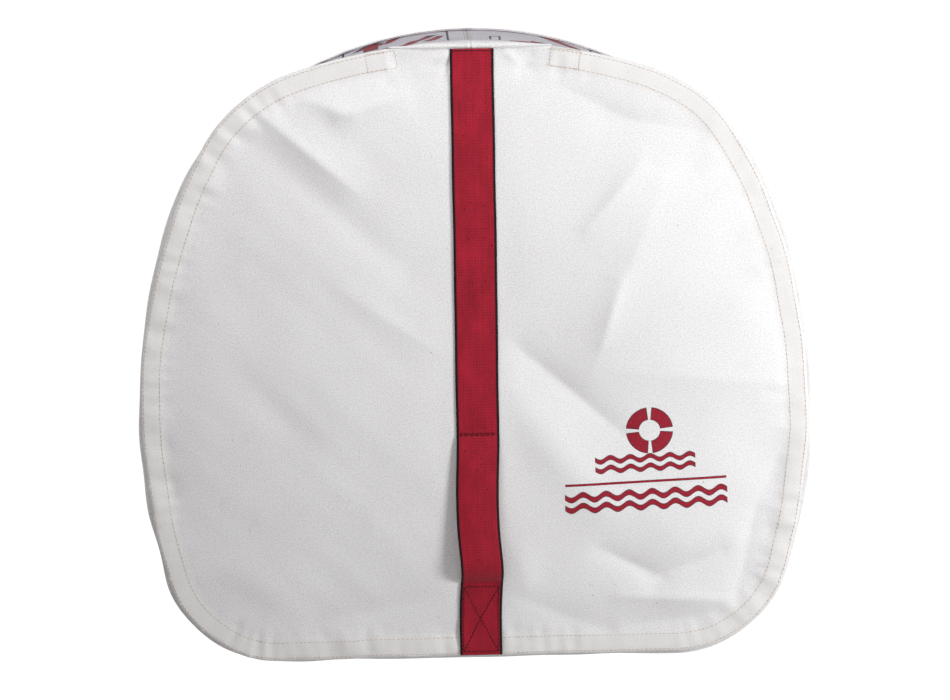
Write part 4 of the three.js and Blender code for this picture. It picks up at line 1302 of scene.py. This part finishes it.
def binding_profile(low, high, thickness):
    """A section through the binding, an L of two soft legs, as (out, depth)."""
    outer, bend = thickness * 0.75, 0.0022
    turn = np.radians(np.linspace(10, 80, 5))
    profile = [(thickness * 0.4, low), (thickness * 0.7, low + 0.0006)]
    profile += [(outer, y) for y in np.linspace(low + 0.002, high - 0.003, 4)]
    profile += [(outer - bend + bend * math.cos(a), high - bend + bend * math.sin(a)) for a in turn]
    profile += [(x, high) for x in np.linspace(-0.003, -BINDING_LEG + 0.001, 4)]
    profile += [(-BINDING_LEG, high - 0.0004), (-BINDING_LEG, high - thickness * 0.8)]
    profile += [(x, high - thickness) for x in np.linspace(-BINDING_LEG + 0.001, -bend, 4)]
    profile += [(-0.0005, high - thickness - 0.0006)]
    profile += [(-0.0002, y) for y in np.linspace(high - 0.004, low + 0.0006, 4)] + [(0.0, low)]
    return np.array(profile)


def make_binding():
    """Tape folded round the seam between the gusset and the back panel."""
    low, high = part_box("case_seam_binding")
    thickness = 0.0012
    outline = resample(closed_outline(GUSSET_ARCS, GUSSET_TOP, 0.0006, 0.004), 0.004)[:-1]
    out = normals_of(outline)
    profile = binding_profile(low.y, high.y, thickness)
    along = lengths_along(closed(outline))[:-1]
    lift = 0.0003 * ripple_along(along, 0.011, 81)
    points = []
    for place, away, raised in zip(outline, out, lift):
        points.append(at_depth(place + away * (profile[:, :1] + raised), profile[:, 1]))
    around = lengths_along(closed(profile))[:-1]
    flat = np.stack(np.broadcast_arrays(along[:, None], around[None, :]), -1)
    faces = tube_faces(len(outline), len(profile), loop=True)
    points = np.array(points).reshape(-1, 3)
    tape = mesh_object("seam_binding", points, faces, [TAPE_PAINTED_SHADE], flat=flat.reshape(-1, 2))
    fit(tape, "case", ["case_seam_binding"])
    ring = closed(outline - out * (BINDING_LEG - 0.002))
    rear = seam([ring], set_upright(high.y), 0.0042, 0.7, (0, 1, 0))
    side_line = closed(outline + out * (thickness * 0.85))
    starts, ends, _ = seam([side_line], set_upright(low.y + 0.002), 0.0042, 0.7)
    stitches = [rear, (starts, ends, outwards(starts, MIDDLE_Z))]
    stitching("binding_stitching", stitches, BEIGE_THREAD, tape)


def revolved(name, profile, centre, axis, material):
    """A ring turned about an axis through its centre from a closed cross-section of (radius, height)."""
    turns = np.linspace(0, 2 * math.pi, 49)[:-1]
    points = np.array([(r * math.cos(a), r * math.sin(a), h) for a in turns for r, h in profile])
    turn = Vector((0, 0, 1)).rotation_difference(Vector(axis)).to_matrix()
    points = points @ np.array(turn).T + np.array(centre)
    return mesh_object(name, points, tube_faces(len(turns), len(profile), loop=True), [material])


def eyelet_profile():
    """A rolled flange on each side, gripping the cloth, and a smooth throat."""
    throat, flange, grip, lip = 0.005, 0.010, 0.0013, 0.0024
    half = [(flange, grip), (flange, grip + 0.0004), (flange - 0.0006, lip - 0.0001), (flange - 0.0014, lip),
            (flange - 0.0024, lip - 0.0002), (throat + 0.0014, lip - 0.0001), (throat + 0.0006, lip - 0.0003),
            (throat + 0.0001, lip - 0.0009), (throat, lip - 0.0016)]
    inner = [(r, -h) for r, h in reversed(half)]
    return half + inner + [(0.0059, -grip), (0.0059, grip)]


def make_eyelets():
    """The eyelet that the rescue line leaves through, and the two that let water out."""
    places = {"line_exit_eyelet": (0, 1, 0), "drain_eyelet_left": (0, 0, 1), "drain_eyelet_right": (0, 0, 1)}
    for node, axis in places.items():
        low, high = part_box(node)
        ring = revolved(node.replace("eyelet", "grommet"), eyelet_profile(), (low + high) / 2, axis, EYELET)
        fit(ring, "case", [node])


# ---- Webbing on the back -----------------------------------------------------------------------------
WEB_WIDTH, WEB_THICKNESS = 0.025, 0.0018
PATCH_OFFSET = 0.0015
PANEL_FACE, BEHIND_RAIL, WEB_TURN_OUT = 0.0013, 0.0315, 0.0381
PLUG_TURN = -0.052 - 0.0123 + 0.0013


def back_webbing(name, corners, x, z=0.0):
    """A strap along a line of rounded corners (y, z), set at x and z, with y counted from the panel."""
    line = rounded_line(corners)
    points = np.column_stack([np.full(len(line), x), line[:, 0] - PATCH_OFFSET, line[:, 1] + z])
    return band_mesh(name, points, (1, 0, 0), WEB_WIDTH, WEB_THICKNESS, BLACK_WEB)


def box_stitches(name, strap, boxes, x, z=0.0):
    """Boxes with crosses in them, sewn through the ends of a strap."""
    rows = [row for low, high in boxes for row in box_stitch(low, high)]
    on_face = set_upright(PANEL_FACE - PATCH_OFFSET + WEB_THICKNESS / 2, x, z)
    stitches = seam(rows, on_face, 0.0032, 0.72, (0, 1, 0))
    stitching(name, [stitches], BLACK_THREAD, strap)


def make_rail_straps():
    """Straps that go behind a rail and down to a buckle, and the tails that come up to its plug."""
    over = [(PANEL_FACE, 0.062), (PANEL_FACE, 0.026, 0.008), (0.0105, 0.0155, 0.008),
            (0.0225, 0.0155, 0.008), (BEHIND_RAIL, 0.004, 0.008), (BEHIND_RAIL, -0.0183),
            (WEB_TURN_OUT, -0.0183), (WEB_TURN_OUT, -0.0093)]
    under = [(WEB_TURN_OUT, PLUG_TURN - 0.009), (WEB_TURN_OUT, PLUG_TURN), (BEHIND_RAIL, PLUG_TURN),
             (BEHIND_RAIL, PLUG_TURN - 0.022, 0.010), (PANEL_FACE, PLUG_TURN - 0.062, 0.010),
             (PANEL_FACE, PLUG_TURN - 0.098)]
    upper = (-0.0100, 0.032), (0.0100, 0.060)
    lower = (-0.0100, PLUG_TURN - 0.0965), (0.0100, PLUG_TURN - 0.0705)
    for word in ("left", "right"):
        low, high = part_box(f"rail_strap_{word}")
        x = (low.x + high.x) / 2
        strap = back_webbing(f"rail_webbing_{word}", over, x)
        fit(strap, "case", [f"rail_strap_{word}"])
        tail = back_webbing(f"rail_tail_webbing_{word}", under, x)
        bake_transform(tail)
        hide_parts(f"rail_tail_{word}")
        box_stitches(f"rail_stitching_{word}", strap, (upper, lower), x)


def make_tie_loops():
    """Loops near the bottom that a lashing line goes through."""
    corners = [(PANEL_FACE, -0.042), (PANEL_FACE, -0.020, 0.007), (0.0143, -0.009, 0.007),
               (0.0143, 0.009, 0.007), (PANEL_FACE, 0.020, 0.007), (PANEL_FACE, 0.042)]
    upper = (-0.0100, 0.0225), (0.0100, 0.0400)
    lower = (-0.0100, -0.0400), (0.0100, -0.0225)
    for word in ("left", "right"):
        low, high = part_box(f"tie_loop_{word}")
        x, z = (low.x + high.x) / 2, (low.z + high.z) / 2
        loop = back_webbing(f"tie_webbing_{word}", corners, x, z)
        fit(loop, "case", [f"tie_loop_{word}"])
        box_stitches(f"tie_stitching_{word}", loop, (upper, lower), x, z)


# ---- Moulded buckles -----------------------------------------------------------------------------------
def softened(node, body, radius):
    """A moulded part of a buckle: the CAD shape with every hard edge rounded."""
    name = node.replace("_", "_buckle_", 1)
    mesh = NODES[node].data.copy()
    mesh.name = name
    mesh.materials.clear()
    mesh.materials.append(MOULDED)
    bm = bmesh.new()
    bm.from_mesh(mesh)
    bmesh.ops.remove_doubles(bm, verts=bm.verts, dist=1e-5)
    bmesh.ops.dissolve_limit(bm, angle_limit=math.radians(2), verts=bm.verts, edges=bm.edges)
    bm.to_mesh(mesh)
    bm.free()
    mesh.polygons.foreach_set("material_index", np.zeros(len(mesh.polygons), np.int32))
    obj = bpy.data.objects.new(name, mesh)
    bpy.context.scene.collection.objects.link(obj)
    bevel = obj.modifiers.new("bevel", "BEVEL")
    bevel.width, bevel.segments, bevel.limit_method = radius, 3, "ANGLE"
    bevel.angle_limit = math.radians(35)
    bevel.use_clamp_overlap = True
    bevel.harden_normals = False
    keep_modifiers(obj)
    obj.data.polygons.foreach_set("use_smooth", np.ones(len(obj.data.polygons), bool))
    obj.data.set_sharp_from_angle(angle=math.radians(38))
    fit(obj, body, [node])


def make_buckles():
    """Both halves of the mouth buckle and of the two rail buckles."""
    softened("mouth_socket", "buoy", 0.0006)
    softened("mouth_plug", "mouth_plug", 0.0005)
    for word in ("left", "right"):
        softened(f"rail_socket_{word}", "case", 0.0006)
        softened(f"rail_plug_{word}", f"rail_plug_{word}", 0.0005)


# ---- Padded pieces -------------------------------------------------------------------------------------
def places_of(obj):
    """Where a mesh's points are once its modifiers have acted."""
    mesh = obj.evaluated_get(bpy.context.evaluated_depsgraph_get()).data
    places = np.zeros(len(mesh.vertices) * 3, np.float32)
    mesh.vertices.foreach_get("co", places)
    return places.reshape(-1, 3).astype(float)


def put(obj, places):
    """Moves a mesh's points."""
    obj.data.vertices.foreach_set("co", places.astype(np.float32).ravel())
    obj.data.update()


def keep_modifiers(obj):
    """Makes what the modifiers do part of the mesh."""
    bpy.context.view_layer.update()
    done = bpy.data.meshes.new_from_object(obj.evaluated_get(bpy.context.evaluated_depsgraph_get()))
    obj.modifiers.clear()
    obj.data = done


def plump(obj, voxel, pressure, cap, frames=20):
    """Blows a closed shape up as cloth, no further than cap along x, y and z, and smooths it."""
    remesh = obj.modifiers.new("remesh", "REMESH")
    remesh.mode, remesh.voxel_size = "VOXEL", voxel
    keep_modifiers(obj)
    rest = places_of(obj)
    cloth = obj.modifiers.new("cloth", "CLOTH")
    cloth.settings.use_pressure = True
    cloth.settings.uniform_pressure_force = pressure
    cloth.settings.effector_weights.gravity = 0
    for number in range(1, frames + 1):
        bpy.context.scene.frame_set(number)
    swollen = places_of(obj)
    obj.modifiers.clear()
    bpy.context.scene.frame_set(1)
    put(obj, rest + np.clip(swollen - rest, -np.array(cap), cap))
    obj.modifiers.new("smooth", "SUBSURF").levels = 1
    keep_modifiers(obj)
    obj.data.polygons.foreach_set("use_smooth", np.ones(len(obj.data.polygons), bool))


def raise_surface(obj, height):
    """Moves each point out by a height that is worked out from where it is."""
    places = places_of(obj)
    normals = np.zeros(len(places) * 3, np.float32)
    obj.data.vertices.foreach_get("normal", normals)
    put(obj, places + normals.reshape(-1, 3) * height(places)[:, None])


def surface_of(obj):
    """A search tree of a mesh's surface."""
    bpy.context.view_layer.update()
    return BVHTree.FromObject(obj, bpy.context.evaluated_depsgraph_get())


def front_at(surface, x, z, otherwise):
    """How far forward a surface reaches at a place, seen from the front."""
    place = surface.ray_cast(Vector((x, -0.5, z)), Vector((0, 1, 0)))[0]
    return otherwise if place is None else place.y


def front_under(surface, x, z):
    """How far forward a surface reaches under a level strap, at each x."""
    heights = (z - 0.01, z, z + 0.01)
    return np.array([min(front_at(surface, each, height, 0.0) for height in heights) for each in x])


def nearest_on(surface, points):
    """The nearest places on a surface, and the directions out of it there."""
    found = [surface.find_nearest(Vector(point))[:2] for point in points]
    return [np.array([tuple(each[k]) for each in found]) for k in (0, 1)]


def averaged(values, reach):
    """Each value made the mean of its neighbours up to so many places away."""
    window = 2 * reach + 1
    return np.convolve(np.pad(values, reach, mode="edge"), np.ones(window) / window, mode="valid")


def stacked(name, layers, material):
    """A closed form from outlines at given depths, the first and the last of them filled."""
    rings = [at_depth(outline, y) for outline, y in layers]
    return mesh_object(name, np.vstack(rings), tube_faces(len(rings), len(rings[0])), [material])


def piped(name, line, normals, radius, material, parent):
    """A sewn-in cord along a closed line of points."""
    along = unit(np.roll(line, -1, axis=0) - np.roll(line, 1, axis=0))
    side = np.cross(along, normals)
    turn = np.linspace(0, 2 * math.pi, 9)[:-1]
    points = line[:, None] + radius * (normals[:, None] * np.cos(turn)[None, :, None]
                                       + side[:, None] * np.sin(turn)[None, :, None])
    obj = mesh_object(name, points.reshape(-1, 3), tube_faces(len(line), len(turn), loop=True), [material])
    obj.parent = parent
    return obj


# ---- Buoy ----------------------------------------------------------------------------------------------
BUOY_LOW, BUOY_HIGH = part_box("buoy_cover_front")
BUOY_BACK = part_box("buoy_cover_back")[1].y
BUOY_FRONT = BUOY_LOW.y
BUOY_ARCS = arched(0.033, BUOY_HIGH.z)
THROAT_HALF, ARCH_THICKNESS, LEG_FILLET = 0.132, 0.138, 0.026
ARCH_CENTRE = BUOY_HIGH.z - ARCH_THICKNESS - THROAT_HALF


def horseshoe(inset, step=0.006):
    """The buoy's outline, made smaller all round."""
    right = arc_points(BUOY_ARCS, BUOY_HIGH.z, step, -inset)
    bottom = right[-1, 1]
    half, fillet = THROAT_HALF + inset, LEG_FILLET - inset
    turn = np.radians(np.linspace(0, 90, 8))
    foot = np.column_stack([half + fillet - fillet * np.sin(turn), bottom + fillet - fillet * np.cos(turn)])
    wall = np.column_stack([np.full(30, half), np.linspace(foot[-1, 1], ARCH_CENTRE, 32)[1:-1]])
    turn = np.radians(np.linspace(0, 90, 37))
    arch = np.column_stack([half * np.cos(turn), ARCH_CENTRE + half * np.sin(turn)])
    side = np.vstack([right, foot, wall, arch])
    return np.vstack([side, side[-2:0:-1] * (-1, 1)])


def make_buoy_cover():
    """A sewn cover, tight over foam: two faces and a band between them, joined by piped seams."""
    edge = ((0.040, 0.0000), (0.016, 0.0006), (0.008, 0.0035), (0.0045, 0.0085), (0.0035, 0.016))
    layers = [(horseshoe(inset), BUOY_FRONT + 0.004 + depth) for inset, depth in edge]
    layers += [(horseshoe(inset), BUOY_BACK - 0.003 - depth) for inset, depth in reversed(edge)]
    cover = stacked("buoy_cover", layers, BUOY_CLOTH)
    plump(cover, 0.0065, 4.0, (0.0030, 0.0060, 0.0030))
    outline = Edge(horseshoe(0.004))
    front_seam, back_seam = BUOY_FRONT + 0.008, BUOY_BACK - 0.007

    def creases(at):
        d, s = outline.measure(at[:, 0], at[:, 2])
        near = np.minimum(np.abs(at[:, 1] - front_seam), np.abs(back_seam - at[:, 1]))
        pucker = 0.0006 * ripple_along(s, 0.010, 91) * bell(near, 0.012) * (d < 0.030)
        soft = 0.0009 * ripple(at[:, 0], at[:, 2], 0.055, 92) * smooth_step(d / 0.03)
        return pucker + soft - 0.0009 * bell(near, 0.0022) * (d < 0.012)

    raise_surface(cover, creases)
    fit(cover, "buoy", ["buoy_cover_front", "buoy_cover_back"])
    surface = surface_of(cover)
    line = resample_ring(horseshoe(0.003), 0.004)
    for word, y in (("front", front_seam), ("back", back_seam)):
        at, out = nearest_on(surface, at_depth(line, y))
        at[:, 1] = y
        piped(f"buoy_piping_{word}", at + out * 0.0006, out, 0.0017, BUOY_CLOTH, cover)
    return surface


def make_foam():
    """The slab of foam inside the cover, cut square and rounded only a little."""
    edge = ((0.021, BUOY_FRONT + 0.017), (0.018, BUOY_FRONT + 0.020), (0.018, BUOY_BACK - 0.018),
            (0.021, BUOY_BACK - 0.015))
    foam = stacked("foam_slab", [(horseshoe(inset), y) for inset, y in edge], FOAM)
    fit(foam, "buoy", ["buoy_foam_core"])


def make_lifting_web():
    """Webbing round the outside of the horseshoe, from the foot of one leg to the foot of the other."""
    low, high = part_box("buoy_lifting_web")
    line = closed_outline(BUOY_ARCS, BUOY_HIGH.z, 0.0013, 0.004)
    line = line[(np.abs(line[:, 0]) > 0.164) | (line[:, 1] > -0.3)]
    first = int(np.argmax((line[:, 1] < low.z + 0.02) & (line[:, 0] < 0)))
    line = np.roll(line, -first, axis=0)
    points = at_depth(line, (low.y + high.y) / 2)
    width = high.y - low.y
    web = band_mesh("lifting_webbing", points, (0, 1, 0), width, WEB_THICKNESS, WIDE_WEB, 0.0006)
    fit(web, "buoy", ["buoy_lifting_web"])
    seams = []
    for aside in (-0.0215, 0.0215):
        edge = resample(points + (0, aside, 0), 0.004)
        out = outwards(edge, ARCH_CENTRE)
        lifted = edge + out * 0.0010
        seams.append((lifted[:-1], lifted[:-1] + (lifted[1:] - lifted[:-1]) * 0.72, out[:-1]))
    stitching("lifting_stitching", seams, DARK_THREAD, web)


TAPE_ROWS, TAPE_STEPS = 21, 60
REFLECTORS = (("arch_left", -1, 42), ("arch_right", 1, 42), ("leg_left", -1, 100), ("leg_right", 1, 100))


def across_horseshoe(side, angle):
    """Rows of flat places over one tape, each from the throat to the outside of the horseshoe."""
    centre, inside = np.array([0, ARCH_CENTRE]), horseshoe(0.008)
    direction = np.array([side * math.sin(math.radians(angle)), math.cos(math.radians(angle))])
    across = np.array([direction[1], -direction[0]])
    reach = np.arange(0.04, 0.45, 0.001)
    rows = []
    for offset in np.linspace(-0.025, 0.025, TAPE_ROWS):
        kept = reach[is_inside(centre + direction * reach[:, None] + across * offset, inside)]
        along = np.linspace(kept[0], kept[-1], TAPE_STEPS)
        rows.append(centre + direction * along[:, None] + across * offset)
    return np.array(rows).reshape(-1, 2)


def make_reflectors(surface):
    """Reflective tape across the front of the horseshoe."""
    quads = np.array(grid_faces(TAPE_ROWS, TAPE_STEPS))
    triangles = np.vstack([quads[:, [0, 1, 2]], quads[:, [0, 2, 3]]])

    def on_cover(u, v, lift=0.0007):
        face = np.array([front_at(surface, x, z, BUOY_FRONT) for x, z in zip(u, v)])
        return np.column_stack([u, face - lift, v])

    for word, side, angle in REFLECTORS:
        flat = across_horseshoe(side, angle)
        panel = (flat, triangles, np.zeros(len(triangles), int))
        skins = on_cover(*flat.T, 0.0006), on_cover(*flat.T, 0.0001)
        name, node = f"reflector_tape_{word}", f"reflector_{word}"
        tape = sewn(name, "buoy", panel, skins, [REFLECTIVE], node)
        border = np.vstack([flat[:TAPE_STEPS], flat[TAPE_STEPS - 1::TAPE_STEPS],
                            flat[-TAPE_STEPS:][::-1], flat[::-TAPE_STEPS][1:]])
        middle = flat.mean(0)
        away = np.linalg.norm(border - middle, axis=1, keepdims=True)
        border = middle + (border - middle) * (1 - 0.003 / away)
        stitches = seam([border], on_cover, 0.0040)
        stitching(f"reflector_stitching_{word}", [stitches], BEIGE_THREAD, tape)


def make_mouth_straps(surface):
    """Webbing across the mouth of the horseshoe, lying on the legs and free between them."""
    for side, word in ((-1, "left"), (1, "right")):
        low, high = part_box(f"mouth_strap_{word}")
        z = (low.z + high.z) / 2
        free, outer = high.y - 0.0010, low.y + 0.0010
        turn_x = (high.x - 0.0010) if side < 0 else (low.x + 0.0010)
        x = np.linspace(side * 0.214, turn_x, 160)
        y = np.where(np.abs(x) > 0.140, np.minimum(front_under(surface, x, z) - 0.0011, free), free)
        y = averaged(np.minimum(y, averaged(y, 12)), 6)
        corners = rounded_line([(x[-1], free), (turn_x, outer), (turn_x + side * 0.009, outer)], 0.002)
        flat = resample(np.vstack([np.column_stack([x[:-6], y[:-6]]), corners[2:]]), 0.0015)
        line = np.column_stack([flat, np.full(len(flat), z)])
        strap = band_mesh(f"mouth_webbing_{word}", line, (0, 0, 1), WEB_WIDTH, WEB_THICKNESS, BUOY_WEB)
        if side < 0:
            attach(strap, "buoy")
        else:
            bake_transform(strap)
        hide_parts(f"mouth_strap_{word}")


# ---- Line bag --------------------------------------------------------------------------------------------
BAG_LOW, BAG_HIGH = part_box("line_bag")
BAG_POINTS = 180


def bag_outline(inset, corner):
    """The bag's outline, made smaller all round."""
    size, middle = BAG_HIGH - BAG_LOW, (BAG_LOW.z + BAG_HIGH.z) / 2
    return rounded_rectangle(size.x - 2 * inset, size.z - 2 * inset, corner, middle, 12, 0.004)


def make_line_bag():
    """The bag that the rescue line is packed in: a soft pouch with a piped front edge."""
    front, back = BAG_LOW.y, BAG_HIGH.y
    layers = []
    for inset, y in ((0.040, front + 0.007), (0.016, front + 0.0085), (0.007, front + 0.013),
                     (0.005, front + 0.022), (0.0045, back - 0.006), (0.006, back - 0.0015)):
        ring = bag_outline(inset, 0.046 - inset * 0.8)
        layers.append((resample_ring(ring, lengths_along(closed(ring))[-1] / BAG_POINTS), y))
    bag = stacked("line_pouch", layers, BAG_CLOTH)
    plump(bag, 0.005, 4.0, (0.0040, 0.0075, 0.0040))
    outline = bag_outline(0.005, 0.042)
    edge = Edge(outline)

    def lumps(at):
        d, s = edge.measure(at[:, 0], at[:, 2])
        coils = 0.0016 * ripple(at[:, 0], at[:, 2], 0.026, 101) * smooth_step(d / 0.025)
        pucker = 0.0007 * ripple_along(s, 0.011, 102) * bell(d, 0.014)
        return (coils + pucker) * smooth_step((back - 0.016 - at[:, 1]) / 0.02)

    raise_surface(bag, lumps)
    places = places_of(bag)
    places[:, 1] = np.minimum(places[:, 1], back)
    put(bag, places)
    fit(bag, "case", ["line_bag"])
    surface = surface_of(bag)
    at, out = nearest_on(surface, at_depth(outline, front + 0.014))
    piped("line_pouch_piping", at + out * 0.0005, out, 0.0018, BAG_CLOTH, bag)
    return surface


def make_line_bag_strap(surface):
    """Webbing across the bag, lying on its face."""
    low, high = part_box("line_bag_strap")
    z = (low.z + high.z) / 2
    x = np.linspace(low.x, high.x, 130)
    face = front_under(surface, x, z)
    y = np.minimum(averaged(face, 8) - 0.0012, face - 0.0009)
    line = resample(np.column_stack([x, y, np.full(len(x), z)]), 0.0015)
    strap = band_mesh("line_pouch_webbing", line, (0, 0, 1), WEB_WIDTH, WEB_THICKNESS, BLACK_WEB)
    fit(strap, "case", ["line_bag_strap"])


make_flap()
make_pull_strap()
make_hinge_fold()
make_gusset(-1, "left")
make_gusset(1, "right")
make_rims()
make_back_panel()
make_chafe_patch()
make_binding()
make_eyelets()
make_rail_straps()
make_tie_loops()
make_buckles()
make_foam()
cover_surface = make_buoy_cover()
make_lifting_web()
make_reflectors(cover_surface)
make_mouth_straps(cover_surface)
make_line_bag_strap(make_line_bag())


# ---- Camera, lights and floor ------------------------------------------------------------------------
def towards(azimuth, elevation):
    """The direction from the object to a viewer, from angles in degrees."""
    a, e = math.radians(azimuth), math.radians(elevation)
    return Vector((math.sin(a) * math.cos(e), -math.cos(a) * math.cos(e), math.sin(e)))


def make_camera():
    """The photograph's view: almost level, and turned a little about its own axis."""
    data = bpy.data.cameras.new("camera")
    data.lens = 105.9
    data.sensor_width = 36
    camera = bpy.data.objects.new("camera", data)
    bpy.context.scene.collection.objects.link(camera)
    aim = Vector((0, FLAP_LOW.y, -0.1805))
    away = towards(-1.5, 10.3)
    camera.location = aim + away * 2.6
    camera.rotation_mode = "QUATERNION"
    lean = Matrix.Rotation(math.radians(-0.92), 3, "Z").to_quaternion()
    camera.rotation_quaternion = (-away).to_track_quat("-Z", "Y") @ lean
    bpy.context.scene.camera = camera


def area_light(name, azimuth, elevation, distance, size, power, colour):
    data = bpy.data.lights.new(name, "AREA")
    data.shape = "SQUARE"
    data.size, data.energy, data.color = size, power, colour
    light = bpy.data.objects.new(name, data)
    aim = Vector((0, FLAP_LOW.y, MIDDLE_Z))
    away = towards(azimuth, elevation)
    light.location = aim + away * distance
    light.rotation_mode = "QUATERNION"
    light.rotation_quaternion = (-away).to_track_quat("-Z", "Y")
    bpy.context.scene.collection.objects.link(light)


def make_world():
    """Bright near the horizon and dimmer overhead and on the left."""
    world = bpy.data.worlds.new("studio")
    world.use_nodes = True
    nodes, links = world.node_tree.nodes, world.node_tree.links
    height = nodes.new("ShaderNodeSeparateXYZ")
    links.new(nodes.new("ShaderNodeTexCoord").outputs["Generated"], height.inputs[0])
    glow = nodes.new("ShaderNodeMapRange")
    links.new(height.outputs["Z"], glow.inputs["Value"])
    for socket, value in (("From Min", 0.08), ("From Max", 0.40), ("To Min", 0.27), ("To Max", 0.08)):
        glow.inputs[socket].default_value = value
    side = nodes.new("ShaderNodeMapRange")
    links.new(height.outputs["X"], side.inputs["Value"])
    for socket, value in (("From Min", -0.8), ("From Max", 0.8), ("To Min", 0.55), ("To Max", 1.1)):
        side.inputs[socket].default_value = value
    level = nodes.new("ShaderNodeMath")
    level.operation = "MULTIPLY"
    links.new(glow.outputs[0], level.inputs[0])
    links.new(side.outputs[0], level.inputs[1])
    background = nodes["Background"]
    background.inputs["Color"].default_value = (1.0, 0.885, 0.905, 1)
    links.new(level.outputs[0], background.inputs["Strength"])
    bpy.context.scene.world = world


def make_floor():
    """A wide pale floor of white paper that glows, though it is no lamp: faintly in front of and near the
    object, brighter behind it and further away.
    """
    size, height = 40, -1.3
    floor = Finish("floor_paper", (0.86, 0.86, 0.86), 0.9, Emission_Color=(1, 1, 1, 1))
    where = floor.places()
    distance = floor.node("VectorMath", {"operation": "LENGTH"}, i0=where).outputs["Value"]
    depth = floor.node("SeparateXYZ", Vector=where).outputs["Y"]
    far = floor.stretch(distance, 0.3, 2.2)
    behind = floor.stretch(depth, -1.2, 1.2)
    soft = floor.maths("MULTIPLY", far, far)
    near_glow = floor.stretch(behind, 0.0, 1.0, 0.03, 0.36)
    far_glow = floor.stretch(behind, 0.0, 1.0, 0.28, 0.60)
    glow = floor.maths("ADD", near_glow, floor.maths("MULTIPLY", soft, far_glow))
    floor.give(floor.shader.inputs["Emission Strength"], glow)
    corners = [(-size, -size, 0), (size, -size, 0), (size, size, 0), (-size, size, 0)]
    obj = mesh_object("floor", corners, [(0, 1, 2, 3)], [floor.material])
    obj.location.z = height


def make_studio():
    """Three lights, and plain colours."""
    area_light("key", 54, 8, 1.45, 0.45, 16.6, (0.975, 1.0, 1.0))
    area_light("top", -32, 58, 1.3, 0.6, 9.4, (0.985, 1.0, 1.0))
    area_light("back", 170, 40, 3.0, 2.0, 16, (1.0, 1.0, 1.0))
    bpy.context.scene.view_settings.view_transform = "Standard"


make_camera()
make_world()
make_floor()
make_studio()
